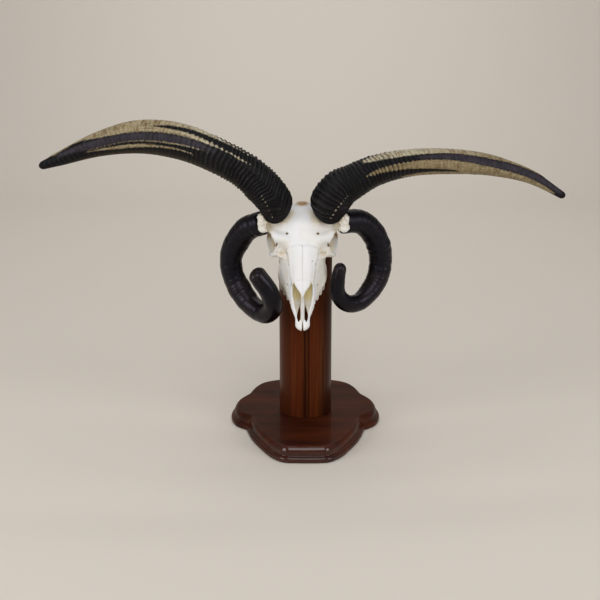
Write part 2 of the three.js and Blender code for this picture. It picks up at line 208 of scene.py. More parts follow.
def waviness(at: np.ndarray, seed: int, pitch: float) -> np.ndarray:
    """Smooth random numbers along a line, about -1 to 1.

    Args:
        at: places along the line.
        seed: picks one run of numbers.
        pitch: distance over which the numbers change.

    Returns:
        One number for each place.
    """
    count = 512
    values = np.random.default_rng(seed).uniform(-1.0, 1.0, count)
    x = np.asarray(at) / pitch
    i = np.floor(x).astype(int)
    t = rise(x - i, 0.0, 1.0)
    return values[i % count] * (1 - t) + values[(i + 1) % count] * t


def dress(piece: bpy.types.Object, material: bpy.types.Material) -> None:
    """Gives a piece its one material."""
    piece.data.materials.clear()
    piece.data.materials.append(material)


def make_piece(name: str, points: np.ndarray, faces: np.ndarray | list, replaces: str,
               material: bpy.types.Material, attributes: dict[str, np.ndarray] | None = None) -> None:
    """Makes one visible piece, dresses it and ties it to the frame.

    Args:
        name: the piece's name.
        points: its vertices in millimetres.
        faces: vertex numbers of its faces, as rows or as a list of lists.
        replaces: the solid that it stands for.
        material: its finish.
        attributes: values kept at each vertex, by name.
    """
    mesh = bpy.data.meshes.new(name)
    mesh.from_pydata((points * MM).tolist(), [], faces.tolist() if isinstance(faces, np.ndarray) else faces)
    mesh.polygons.foreach_set("use_smooth", [True] * len(mesh.polygons))
    for key, values in (attributes or {}).items():
        layer = mesh.attributes.new(key, "FLOAT", "POINT")
        layer.data.foreach_set("value", values.astype(np.float32).ravel())
    mesh.update()
    piece = bpy.data.objects.new(name, mesh)
    bpy.context.scene.collection.objects.link(piece)
    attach(piece, BODY)
    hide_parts(replaces)
    dress(piece, material)
    LOG.info("%s: %d vertices, %d faces", name, len(mesh.vertices), len(mesh.polygons))


def ring_faces(rings: int, sides: int) -> list:
    """Faces of a closed skin over rings of points, with one flat cap at each end.

    Args:
        rings: how many rings there are.
        sides: how many points each ring has.

    Returns:
        Lists of vertex numbers.
    """
    faces = []
    for ring in range(rings - 1):
        here = ring * sides
        for side in range(sides):
            ahead = (side + 1) % sides
            faces.append([here + side, here + ahead, here + sides + ahead, here + sides + side])
    faces.append(list(range(sides))[::-1])
    faces.append(list(range((rings - 1) * sides, rings * sides)))
    return faces


# ---------------------------------------------------------------- finishes


class Node(Enum):
    """The shader nodes in use: type, inputs in order, the output read, and fixed options."""

    SHADER = ("ShaderNodeBsdfPrincipled", (), "BSDF", {})
    OUTPUT = ("ShaderNodeOutputMaterial", ("Surface",), None, {})
    PLACE = ("ShaderNodeTexCoord", (), "Object", {})
    VALUE = ("ShaderNodeAttribute", (), "Fac", {})
    OPENNESS = ("ShaderNodeAmbientOcclusion", ("Distance",), "AO", {"samples": 6})
    STRETCH = ("ShaderNodeMapping", ("Vector", "Scale"), "Vector", {})
    NOISE = ("ShaderNodeTexNoise", ("Vector", "Scale", "Detail", "Roughness"), "Fac", {})
    RANGE = ("ShaderNodeMapRange", ("Value", "From Min", "From Max", "To Min", "To Max"), "Result", {})
    ADD = ("ShaderNodeMath", (0, 1), "Value", {"operation": "ADD"})
    TIMES = ("ShaderNodeMath", (0, 1), "Value", {"operation": "MULTIPLY"})
    PAST = ("ShaderNodeMath", (0, 1), "Value", {"operation": "GREATER_THAN"})
    MIX = ("ShaderNodeMix", (0, 6, 7), 2, {"data_type": "RGBA"})
    BUMP = ("ShaderNodeBump", ("Strength", "Distance", "Height"), "Normal", {})
    SPLIT = ("ShaderNodeSeparateXYZ", (0,), "X", {})
    JOIN = ("ShaderNodeCombineXYZ", (0, 1), "Vector", {})
    MOVE = ("ShaderNodeVectorMath", (0, 1), "Vector", {"operation": "ADD"})


def add_node(tree: Tree, kind: Node, values: dict | Sequence = (), **settings: object) -> Socket | None:
    """Adds one shader node with its settings and links.

    Args:
        tree: the material's node tree.
        kind: which node.
        values: for each input, by name or in the kind's order, a number, a hex colour or the socket
            that feeds it.
        settings: the node's further options.

    Returns:
        The output that is read, or None if there is none.
    """
    type_name, inputs, output, options = kind.value
    node = tree.nodes.new(type_name)
    for option, choice in {**options, **settings}.items():
        setattr(node, option, choice)
    for key, value in values.items() if isinstance(values, dict) else zip(inputs, values):
        if isinstance(value, bpy.types.NodeSocket):
            tree.links.new(value, node.inputs[key])
        else:
            node.inputs[key].default_value = linear(value) if isinstance(value, str) else value
    return None if output is None else node.outputs[output]


@dataclass(frozen=True)
class Pattern:
    """Random mottling whose features have a real size in millimetres along each axis."""

    size: tuple[float, float, float]
    layers: float = 3.0
    fineness: float = 0.6

    def draw(self, tree: Tree, place: Socket, millimetre: float = MM) -> Socket:
        """Adds the pattern to a material.

        Args:
            tree: the material's node tree.
            place: where the pattern is looked up.
            millimetre: length of a millimetre in the units of the place.

        Returns:
            The pattern's value, mostly between 0.3 and 0.7.
        """
        scale = tuple(1.0 / (length * millimetre) for length in self.size)
        stretched = add_node(tree, Node.STRETCH, (place, scale))
        return add_node(tree, Node.NOISE, (stretched, 1.0, self.layers, self.fineness))


def broken_up(tree: Tree, mask: Socket, pattern: Socket, spread: Range) -> Socket:
    """A mask that a pattern breaks up.

    Args:
        tree: the material's node tree.
        mask: how much there is at each place.
        pattern: the pattern's value.
        spread: the pattern's low and high value, and what the mask is multiplied by at each.

    Returns:
        The mask with the pattern in it.
    """
    return add_node(tree, Node.TIMES, (mask, add_node(tree, Node.RANGE, (pattern, *spread))))


@dataclass(frozen=True)
class Finish:
    """A material with one Principled shader, which the finishes below fill in."""

    name: str

    def values(self, tree: Tree) -> dict:
        """Adds a finish's own nodes.

        Args:
            tree: the material's node tree.

        Returns:
            The shader's input values, by name.
        """
        raise NotImplementedError

    def build(self) -> bpy.types.Material:
        """Makes the material.

        Returns:
            The finished material.
        """
        material = bpy.data.materials.new(self.name)
        material.use_nodes = True
        tree = material.node_tree
        tree.nodes.clear()
        shader = add_node(tree, Node.SHADER, self.values(tree))
        add_node(tree, Node.OUTPUT, (shader,))
        return material

    def vertex_values(self, tree: Tree, *names: str) -> list[Socket]:
        """The values kept at each vertex under the given names."""
        return [add_node(tree, Node.VALUE, attribute_name=name) for name in names]


@dataclass(frozen=True)
class BoneFinish(Finish):
    """Bleached, cleaned bone: chalky white where smooth, ivory about the horn bases and on the stumps, tan
    at the poll; the ivory in hollows is partly the bone's own yellowing and partly painted shade, and the
    tan to dark brown spots about the eyes are painted shade.

    The pores are drawn coarser than real ones, so that they show.
    """

    white: str = "#ececed"
    ivory_and_shade: str = "#ded3bb"
    wax: str = "#e0d19f"
    tan: str = "#a07c4c"
    # painted shade: the dark umber of the deepest shade spots about the eyes
    shade_umber: str = "#443829"
    cloud: Pattern = Pattern((26.3, 26.3, 26.3), 4.0)
    dents: Pattern = Pattern((9.09, 9.09, 9.09), 3.0, 0.55)
    pores: Pattern = Pattern((1.6, 1.6, 1.6))
    hollow_reach: float = 16.0
    hollow_shade_depth: Range = (0.35, 0.95, 1.0, 0.0)
    hollow_shade_share: float = 0.7
    ivory_cloud: Range = (0.48, 0.75, 0.0, 0.3)
    collar_cloud: Range = (0.3, 0.6, 0.35, 0.9)
    stain_and_shade_cloud: Range = (0.3, 0.65, 0.35, 1.0)
    umber_stain: Range = (1.3, 1.9)
    pore_share: float = 0.25
    relief: float = 0.8
    relief_strength: float = 0.35
    roughness: float = 0.5
    specular: float = 0.25
    glow: float = 0.12
    glow_colours: tuple[float, float, float] = (1.0, 0.75, 0.5)
    glow_depth: float = 3.0

    def values(self, tree: Tree) -> dict:
        """Adds this finish's own nodes.

        Args:
            tree: the material's node tree.

        Returns:
            The shader's input values, by name.
        """
        place = add_node(tree, Node.PLACE)
        cloud, dents, pores = (pattern.draw(tree, place) for pattern in (self.cloud, self.dents, self.pores))
        stain, collar, inner = self.vertex_values(tree, "stain", "collar", "inner")
        # painted shade: where the ambient occlusion finds the bone hemmed in, its colour is mixed towards
        # ivory; the bone's own random ivory tone and the creamy collar are added on top
        openness = add_node(tree, Node.OPENNESS, (self.hollow_reach * MM,))
        depth = add_node(tree, Node.RANGE, (openness, *self.hollow_shade_depth))
        ivory_and_shade = add_node(tree, Node.TIMES, (depth, self.hollow_shade_share))
        ivory_and_shade = add_node(tree, Node.ADD, (ivory_and_shade, add_node(tree, Node.RANGE, (cloud, *self.ivory_cloud))))
        ivory_and_shade = add_node(tree, Node.ADD, (ivory_and_shade, broken_up(tree, collar, cloud, self.collar_cloud)))
        colour = add_node(tree, Node.MIX, (ivory_and_shade, self.white, self.ivory_and_shade))
        colour = add_node(tree, Node.MIX, (inner, colour, self.wax))
        # tan for the poll's real stain and for the painted shade spots about the eyes; dark umber, past 1.3,
        # only for the painted shade
        patch = broken_up(tree, stain, cloud, self.stain_and_shade_cloud)
        colour = add_node(tree, Node.MIX, (patch, colour, self.tan))
        darkest_shade = add_node(tree, Node.RANGE, (stain, *self.umber_stain))
        colour = add_node(tree, Node.MIX, (darkest_shade, colour, self.shade_umber))
        height = add_node(tree, Node.ADD, (add_node(tree, Node.TIMES, (pores, self.pore_share)), dents))
        return {
            "Base Color": colour,
            "Normal": add_node(tree, Node.BUMP, (self.relief_strength, self.relief * MM, height)),
            "Roughness": self.roughness,
            "Specular IOR Level": self.specular,
            "Subsurface Weight": self.glow,
            "Subsurface Radius": self.glow_colours,
            "Subsurface Scale": self.glow_depth * MM,
        }


@dataclass(frozen=True)
class StreakedHornFinish(Finish):
    """Dark, ringed horn, dried and rubbed: cream streaks, a grey-blue band, and a painted highlight in
    lighter grey along the ring crests.
    """

    black: str = "#050406"
    # painted highlight: the lighter grey of the ring crests
    crest: str = "#332d30"
    slate: str = "#38333b"
    cream: str = "#c3b99f"
    khaki: str = "#90805f"
    tan: str = "#5f492c"
    brown: str = "#2e2016"
    olive: str = "#33290f"
    fibres: Pattern = Pattern((33.3, 1.43, 1.0), 4.0)
    bands: Pattern = Pattern((4.17, 22.2, 1.0), 4.0, 0.65)
    flecks: Pattern = Pattern((3.33, 3.33, 1.0))
    crest_highlight: Range = (0.45, 0.8)
    crest_highlight_flecks: Range = (0.4, 0.65)
    slate_bands: Range = (0.35, 0.6, 0.35, 1.0)
    olive_flecks: Range = (0.35, 0.6, 0.3, 1.0)
    edge_flecks: Range = (0.3, 0.7, -0.28, 0.24)
    edge_bands: Range = (0.3, 0.7, -0.2, 0.16)
    groove_loss: Range = (0.15, 0.65, -0.38, -0.03)
    streak_edge: Range = (0.38, 0.74)
    khaki_bands: Range = (0.3, 0.6, 0.65, 1.3)
    tan_bands: Range = (0.5, 0.66, 0.0, 0.8)
    brown_fibres: Range = (0.5, 0.7, 0.0, 0.85)
    band_share: float = 0.8
    relief: float = 0.9
    relief_strength: float = 0.5
    roughness: Range = (0.3, 0.7, 0.36, 0.52)
    specular: float = 0.16

    def values(self, tree: Tree) -> dict:
        """Adds this finish's own nodes.

        Args:
            tree: the material's node tree.

        Returns:
            The shader's input values, by name.
        """
        along, turn, crest, ringed = self.vertex_values(tree, "along", "turn", "crest", "ringed")
        cream, tone, slate, olive = self.vertex_values(tree, "cream", "tone", "slate", "olive")
        skin = add_node(tree, Node.JOIN, (along, turn))
        fibres, bands, flecks = (p.draw(tree, skin, 1.0) for p in (self.fibres, self.bands, self.flecks))
        # painted highlight: the ring crests are painted lighter, broken up by flecks
        light = add_node(tree, Node.RANGE, (crest, *self.crest_highlight))
        light = broken_up(tree, light, flecks, self.crest_highlight_flecks)
        base = add_node(tree, Node.MIX, (light, self.black, self.crest))
        slate = broken_up(tree, slate, bands, self.slate_bands)
        base = add_node(tree, Node.MIX, (slate, base, self.slate))
        olive = broken_up(tree, olive, flecks, self.olive_flecks)
        base = add_node(tree, Node.MIX, (olive, base, self.olive))
        streak = add_node(tree, Node.ADD, (cream, add_node(tree, Node.RANGE, (flecks, *self.edge_flecks))))
        streak = add_node(tree, Node.ADD, (streak, add_node(tree, Node.RANGE, (bands, *self.edge_bands))))
        streak = add_node(tree, Node.ADD, (streak, broken_up(tree, ringed, crest, self.groove_loss)))
        streak = add_node(tree, Node.RANGE, (streak, *self.streak_edge))
        tone = broken_up(tree, tone, bands, self.khaki_bands)
        pale = add_node(tree, Node.MIX, (tone, self.cream, self.khaki))
        tan_bands = add_node(tree, Node.RANGE, (bands, *self.tan_bands))
        pale = add_node(tree, Node.MIX, (tan_bands, pale, self.tan))
        dark_fibres = add_node(tree, Node.RANGE, (fibres, *self.brown_fibres))
        pale = add_node(tree, Node.MIX, (dark_fibres, pale, self.brown))
        height = add_node(tree, Node.ADD, (fibres, add_node(tree, Node.TIMES, (bands, self.band_share))))
        return {
            "Base Color": add_node(tree, Node.MIX, (streak, base, pale)),
            "Normal": add_node(tree, Node.BUMP, (self.relief_strength, self.relief * MM, height)),
            "Roughness": add_node(tree, Node.RANGE, (bands, *self.roughness)),
            "Specular IOR Level": self.specular,
        }


@dataclass(frozen=True)
class BlackHornFinish(Finish):
    """Satin black horn with fine rings, brownish where worn and glossier towards the tip."""

    black: str = "#08070a"
    worn: str = "#2a2220"
    sheen: str = "#cdc6dd"
    bands: Pattern = Pattern((2.22, 50.0, 1.0), 4.0, 0.65)
    patches: Pattern = Pattern((16.7, 25.0, 1.0))
    worn_bands: Range = (0.5, 0.75, 0.0, 0.45)
    worn_patches: Range = (0.35, 0.65, 0.4, 1.0)
    relief: float = 0.6
    relief_strength: float = 0.5
    roughness: Range = (0.2, 0.8, 0.36, 0.22)
    specular: float = 0.3

    def values(self, tree: Tree) -> dict:
        """Adds this finish's own nodes.

        Args:
            tree: the material's node tree.

        Returns:
            The shader's input values, by name.
        """
        along, turn, share, worn = self.vertex_values(tree, "along", "turn", "share", "worn")
        skin = add_node(tree, Node.JOIN, (along, turn))
        bands, patches = (pattern.draw(tree, skin, 1.0) for pattern in (self.bands, self.patches))
        wear = add_node(tree, Node.ADD, (add_node(tree, Node.RANGE, (bands, *self.worn_bands)), worn))
        wear = broken_up(tree, wear, patches, self.worn_patches)
        return {
            "Base Color": add_node(tree, Node.MIX, (wear, self.black, self.worn)),
            "Normal": add_node(tree, Node.BUMP, (self.relief_strength, self.relief * MM, bands)),
            "Roughness": add_node(tree, Node.RANGE, (share, *self.roughness)),
            "Specular IOR Level": self.specular,
            "Specular Tint": self.sheen,
        }


@dataclass(frozen=True)
class LacquerFinish(Finish):
    """Walnut under dark lacquer: almost black grain, red-brown in the light, rubbed dull on top.

    Only the moulded edge keeps its gloss.
    """

    dark: str = "#250e08"
    warm: str = "#4b2110"
    figure: Pattern = Pattern((167.0, 33.3, 33.3), 4.0)
    pores: Pattern = Pattern((16.7, 1.11, 1.11), 2.0)
    figure_tone: Range = (0.3, 0.7)
    pore_tone: Range = (0.3, 0.7, -0.2, 0.2)
    coat: Range = (0.0, 1.0, 0.07, 0.8)
    coat_roughness: float = 0.07
    coat_ior: float = 1.5
    roughness: float = 0.55
    specular: float = 0.03

    def values(self, tree: Tree) -> dict:
        """Adds this finish's own nodes.

        Args:
            tree: the material's node tree.

        Returns:
            The shader's input values, by name.
        """
        place = add_node(tree, Node.PLACE)
        figure, pores = (pattern.draw(tree, place) for pattern in (self.figure, self.pores))
        polish = add_node(tree, Node.VALUE, attribute_name="polish")
        tone = add_node(tree, Node.RANGE, (figure, *self.figure_tone))
        tone = add_node(tree, Node.ADD, (tone, add_node(tree, Node.RANGE, (pores, *self.pore_tone))))
        return {
            "Base Color": add_node(tree, Node.MIX, (tone, self.dark, self.warm)),
            "Roughness": self.roughness,
            "Specular IOR Level": self.specular,
            "Coat Weight": add_node(tree, Node.RANGE, (polish, *self.coat)),
            "Coat Roughness": self.coat_roughness,
            "Coat IOR": self.coat_ior,
        }


@dataclass(frozen=True)
class LaminateFinish(Finish):
    """Upright boards of brown hardwood glued side by side, each with its own tone, satin oiled."""

    joints: tuple[float, ...] = (-24.5, -5.5, 6.5, 23.5)
    tones: tuple[str, ...] = ("#472110", "#522411", "#2b1209", "#532612", "#33170b")
    streak: str = "#7a4222"
    grain: str = "#2b1209"
    sheen: str = "#c08a6c"
    figure: Pattern = Pattern((6.67, 6.67, 250.0), 4.0, 0.65)
    pores: Pattern = Pattern((1.11, 1.11, 71.4), 2.0)
    streak_figure: Range = (0.48, 0.75, 0.0, 0.5)
    grain_pores: Range = (0.5, 0.75, 0.0, 0.5)
    relief: float = 0.3
    relief_strength: float = 0.25
    roughness: float = 0.34
    specular: float = 0.12

    def values(self, tree: Tree) -> dict:
        """Adds this finish's own nodes.

        Args:
            tree: the material's node tree.

        Returns:
            The shader's input values, by name.
        """
        place = add_node(tree, Node.PLACE)
        across = add_node(tree, Node.SPLIT, (place,))
        colour = self.tones[0]
        board = 0.0
        for joint, tone in zip(self.joints, self.tones[1:]):
            past = add_node(tree, Node.PAST, (across, joint * MM))
            colour = add_node(tree, Node.MIX, (past, colour, tone))
            board = add_node(tree, Node.ADD, (past, board))
        shift = add_node(tree, Node.JOIN, (board, board))
        moved = add_node(tree, Node.MOVE, (place, shift))
        figure, pores = (pattern.draw(tree, moved) for pattern in (self.figure, self.pores))
        streak = add_node(tree, Node.RANGE, (figure, *self.streak_figure))
        colour = add_node(tree, Node.MIX, (streak, colour, self.streak))
        grain = add_node(tree, Node.RANGE, (pores, *self.grain_pores))
        return {
            "Base Color": add_node(tree, Node.MIX, (grain, colour, self.grain)),
            "Normal": add_node(tree, Node.BUMP, (self.relief_strength, self.relief * MM, pores)),
            "Roughness": self.roughness,
            "Specular IOR Level": self.specular,
            "Specular Tint": self.sheen,
        }


@dataclass(frozen=True)
class PaperFinish(Finish):
    """Matt, uncoated pale paper, for the floor and the wall behind."""

    pale: str = "#ddd6cc"
    roughness: float = 0.9
    specular: float = 0.1

    def values(self, tree: Tree) -> dict:
        """The shader's input values; paper needs no nodes of its own."""
        return {"Base Color": self.pale, "Roughness": self.roughness, "Specular IOR Level": self.specular}


# ---------------------------------------------------------------- pedestal


@dataclass
class PedestalBase:
    """The moulded, lobed foot of the pedestal."""

    lobe_steps: int = 14
    front_lobe: list = field(default_factory=lambda: [
        [0, -169], [20, -168.6], [36, -166], [54, -149], [73.5, -112], [90, -71], [101, -27]])
    side_lobe: list = field(default_factory=lambda: [
        [101, -27], [120, -7], [130, 27], [126, 66], [109, 101]])
    back_lobe: list = field(default_factory=lambda: [
        [109, 101], [99, 138], [84, 164], [54, 182], [0, 188]])
    # The moulded edge from the floor up: how far it is drawn in, and its height.
    edge: list = field(default_factory=lambda: [
        [2.0, 0.0], [0.9, 0.7], [0.3, 1.6], [0.0, 3.0], [0.0, 6.0], [0.3, 7.3], [1.0, 8.4], [2.1, 9.2],
        [3.4, 9.7], [5.0, 10.0], [5.5, 10.3], [5.6, 11.0], [5.6, 15.0], [5.8, 16.4], [6.3, 18.4],
        [7.1, 20.3], [8.2, 22.2], [9.4, 23.6], [10.6, 24.5], [12.0, 25.0], [13.5, 25.0], [22.0, 25.0]])
    moulding_inset: tuple[float, float] = (10.0, 13.5)
    front_gloss: tuple[float, float] = (130.0, 160.0)
    side_gloss: float = 0.3

    def outline(self) -> np.ndarray:
        """The foot's outline.

        Returns:
            Its corners, counter-clockwise from the front.
        """
        lobes = (self.front_lobe, self.side_lobe, self.back_lobe)
        right = np.vstack([curve_points(lobe, self.lobe_steps)[:-1] for lobe in lobes])
        back = np.array([self.back_lobe[-1]], dtype=float)
        left = right[1:][::-1] * np.array([-1.0, 1.0])
        return np.vstack([right, back, left])

    def inset(self, outline: np.ndarray, distance: float) -> np.ndarray:
        """Draws the outline in.

        Args:
            outline: its corners.
            distance: how far it is drawn in.

        Returns:
            The corners of the smaller outline.
        """
        way = np.roll(outline, -1, axis=0) - np.roll(outline, 1, axis=0)
        way /= np.linalg.norm(way, axis=1)[:, None]
        return outline + np.stack([-way[:, 1], way[:, 0]], axis=1) * distance

    def build(self, material: bpy.types.Material) -> None:
        """Makes the foot and dresses it.

        Args:
            material: its finish.
        """
        outline = self.outline()
        rings = []
        for inset, height in self.edge:
            ring = self.inset(outline, inset)
            rings.append(np.column_stack([ring, np.full(len(ring), height)]))
        points = np.vstack(rings)
        faces = ring_faces(len(rings), len(outline))
        moulding = [fall(inset, *self.moulding_inset) for inset, _ in self.edge]
        front = rise(-outline[:, 1], *self.front_gloss)
        polish = np.outer(moulding, self.side_gloss + (1.0 - self.side_gloss) * front)
        make_piece("base", points, faces, "pedestal_base", material, {"polish": polish})


@dataclass
class PedestalColumn:
    """The round column, its top cut to the slant of the palate."""

    diameter: float = 89.0
    centre_y: float = 11.0
    foot: float = 25.3
    seat_depth: float = 4.0
    sides: int = 128
    edge_round: float = 0.8
    edge_middle: float = 0.25
    straight: float = 100.0

    def build(self, material: bpy.types.Material) -> None:
        """Makes the column and dresses it.

        Args:
            material: its finish.
        """
        angles = np.linspace(0.0, 2 * math.pi, self.sides, endpoint=False)
        rings = []
        radius = self.diameter / 2
        edge = [(self.edge_round, 0.0), (self.edge_middle, self.edge_middle), (0.0, self.edge_round)]
        for inset, height in [*edge, (0.0, self.straight)]:
            ring = self.circle(angles, radius - inset)
            rings.append(np.column_stack([ring, np.full(self.sides, self.foot + height)]))
        for inset, drop in edge[::-1]:
            ring = self.circle(angles, radius - inset)
            rings.append(np.column_stack([ring, self.top(ring) - drop]))
        faces = ring_faces(len(rings), self.sides)
        make_piece("column", np.vstack(rings), faces, "pedestal_column", material)

    def circle(self, angles: np.ndarray, radius: float) -> np.ndarray:
        """A ring of points about the column's axis."""
        return np.column_stack([radius * np.cos(angles), self.centre_y + radius * np.sin(angles)])

    def top(self, ring: np.ndarray) -> np.ndarray:
        """Height of the slanted top over each point of a ring."""
        seat = SKULL_TIP[2] - self.seat_depth / math.cos(SKULL_PITCH)
        return seat + (ring[:, 1] - SKULL_TIP[1]) * math.tan(SKULL_PITCH)


# ---------------------------------------------------------------- horns


@dataclass
class Streak:
    """A band along a horn, as knots of distance from the base and the angles where it starts and ends.

    The tones are pairs of distance from the base and colour there, from 0 for chalky to 1 for khaki.
    """

    knots: list
    keel: float = 0.7
    tones: list = field(default_factory=lambda: [[150, 0.0], [220, 0.75]])

    def cover(self, along: np.ndarray, angle: np.ndarray, radius: np.ndarray) -> np.ndarray:
        """How far each place is inside the band.

        Args:
            along: distance from the base in millimetres.
            angle: angle from the horn's top towards the front in degrees.
            radius: the horn's radius there in millimetres.

        Returns:
            0.5 at the edge, 1 from EDGE_WIDTH inside it and 0 from EDGE_WIDTH outside.
        """
        place, start, end = (np.array(column, dtype=float) for column in zip(*self.knots))
        first = np.interp(along, place, start)
        last = np.interp(along, place, end)
        inside = np.radians(np.minimum(angle - first, last - angle)) * radius
        inside = np.minimum(inside, np.minimum(along - place[0], place[-1] - along) * 0.5)
        return np.clip(0.5 + 0.5 * inside / EDGE_WIDTH, 0.0, 1.0)


@dataclass
class Horn:
    """A horn swept along its centre line, from the skull to its blunt tip."""

    name: str
    knots: list
    across: list
    deep: list
    top_sign: int
    tip_round: float = 7.0
    tip_fade: float = 12.0
    front_taper: float = 0.0
    taper_reach: tuple[float, float] = (10.0, 60.0)
    ring_step: float = 0.8
    quick_step: float = 2.0
    sides: int = 160
    quick: bool = False

    def __post_init__(self) -> None:
        """Works out the centre line and the frames along it."""
        step = self.quick_step if self.quick else self.ring_step
        path = curve_points(self.knots, 120)
        share = np.linspace(0.0, len(self.knots) - 1.0, len(path))
        run = np.concatenate([[0.0], np.cumsum(np.linalg.norm(np.diff(path, axis=0), axis=1))])
        self.length = float(run[-1])
        self.along = np.linspace(0.0, self.length, int(self.length / step))
        self.centre = np.column_stack([np.interp(self.along, run, path[:, k]) for k in range(3)])
        at = np.interp(self.along, run, share)
        knots = np.arange(len(self.knots))
        self.half_across = through(knots, self.across, at) / 2
        self.half_deep = through(knots, self.deep, at) / 2
        past = np.clip((self.along - self.length + self.tip_round) / self.tip_round, 0.0, 0.995)
        cap = np.sqrt(1.0 - past * past)
        self.half_across = self.half_across * cap
        self.half_deep = self.half_deep * cap
        way = np.gradient(self.centre, axis=0)
        self.way = way / np.linalg.norm(way, axis=1)[:, None]
        self.wide = np.zeros_like(self.way)
        wide = np.array([-1.0, 0.0, 0.0])
        for i, forward in enumerate(self.way):
            wide = wide - forward * wide.dot(forward)
            wide /= np.linalg.norm(wide)
            self.wide[i] = wide
        self.front = np.cross(self.way, self.wide)

    def relief(self, along: np.ndarray, angle: np.ndarray) -> tuple[np.ndarray, np.ndarray]:
        """Height of the surface over the plain oval, and how much each place is a crest.

        Args:
            along: distance from the base in millimetres.
            angle: angle from the horn's top towards the front in degrees.

        Returns:
            The height in millimetres, and 0 in grooves to 1 on crests.
        """
        raise NotImplementedError

    def masks(self, along: np.ndarray, angle: np.ndarray, radius: np.ndarray) -> dict[str, np.ndarray]:
        """The values that the finish reads at each vertex.

        Args:
            along: distance from the base in millimetres.
            angle: angle from the horn's top towards the front in degrees.
            radius: the horn's radius there in millimetres.

        Returns:
            The values by name.
        """
        raise NotImplementedError

    def taper(self, along: np.ndarray) -> np.ndarray:
        """How much narrower the horn's front is, as a share, near the base."""
        return self.front_taper * fall(along, *self.taper_reach)

    def skin(self) -> tuple[np.ndarray, dict[str, np.ndarray]]:
        """Works out the horn's surface.

        Returns:
            Its vertices, ring by ring, and what the finish reads at each.
        """
        turn = np.linspace(0.0, 2 * math.pi, self.sides, endpoint=False)
        along, turns = np.meshgrid(self.along, turn, indexing="ij")
        angle = np.degrees(turns) if self.top_sign > 0 else 180.0 - np.degrees(turns)
        angle = (angle + 180.0) % 360.0 - 180.0
        height, crest = self.relief(along, angle)
        narrow = self.taper(along) * np.maximum(np.sin(turns), 0.0)
        across = self.half_across[:, None] * (1.0 - narrow) + height
        deep = self.half_deep[:, None] + height
        points = self.centre[:, None, :] + self.wide[:, None, :] * (across * np.cos(turns))[..., None]
        points = points + self.front[:, None, :] * (deep * np.sin(turns))[..., None]
        radius = (across + deep) / 2
        values = self.masks(along, angle, radius)
        values["crest"] = crest
        values["along"] = along
        values["turn"] = np.abs(np.radians(angle)) * radius.max()
        values["share"] = along / self.length
        return points.reshape(-1, 3), values

    def build(self, slot: Slot, material: bpy.types.Material) -> None:
        """Makes the horn, which stands for the solid of the same name, and dresses it.

        Args:
            slot: the record's material slot; not used.
            material: its finish.
        """
        points, values = self.skin()
        faces = ring_faces(len(self.along), self.sides)
        make_piece(self.name, points, faces, self.name, material, values)

    def distance(self, x: np.ndarray, y: np.ndarray, z: np.ndarray, reach: float) -> np.ndarray:
        """Rough distance of places in the skull's frame from the horn's plain oval surface.

        Args:
            x: across the head.
            y: along the head.
            z: up from the palate.
            reach: how far up the horn the distance is needed.

        Returns:
            Negative inside the horn.
        """
        points = np.stack(np.broadcast_arrays(x, y, z), axis=-1).astype(np.float32)
        best = np.full(points.shape[:-1], FAR, dtype=np.float32)
        slice_step = 3.0
        slice_half = 2.0
        stride = max(1, round(slice_step / (self.along[1] - self.along[0])))
        for i in range(0, int(np.searchsorted(self.along, reach)), stride):
            lines = (self.way[i], self.wide[i], self.front[i])
            way, wide, front = (skull_frame(line, False).astype(np.float32) for line in lines)
            away = points - skull_frame(self.centre[i], True).astype(np.float32)
            v = away @ front / self.half_deep[i]
            narrow = self.taper(self.along[i]) * np.clip(v, 0.0, 1.0)
            u = away @ wide / (self.half_across[i] * (1.0 - narrow))
            w = np.maximum(np.abs(away @ way) - slice_half, 0.0)
            radial = (np.sqrt(u * u + v * v) - 1.0) * min(self.half_across[i], self.half_deep[i])
            best = np.minimum(best, np.maximum(radial, w))
        return best


def skull_frame(vector: np.ndarray, is_place: bool) -> np.ndarray:
    """Turns a place or a direction of the whole part into the skull's own frame.

    Args:
        vector: the place or direction.
        is_place: whether it is a place.

    Returns:
        The same in the skull's frame.
    """
    v = vector - SKULL_TIP if is_place else vector
    cosine = math.cos(SKULL_PITCH)
    sine = math.sin(SKULL_PITCH)
    return np.array([v[0], v[1] * cosine + v[2] * sine, -v[1] * sine + v[2] * cosine])


def world_frame(points: np.ndarray) -> np.ndarray:
    """Turns places in the skull's own frame into the whole part's frame.

    Args:
        points: one place to a row.

    Returns:
        The same places in the whole part's frame.
    """
    cosine = math.cos(SKULL_PITCH)
    sine = math.sin(SKULL_PITCH)
    y = points[:, 1] * cosine - points[:, 2] * sine
    z = points[:, 1] * sine + points[:, 2] * cosine
    return np.column_stack([points[:, 0], y, z]) + SKULL_TIP


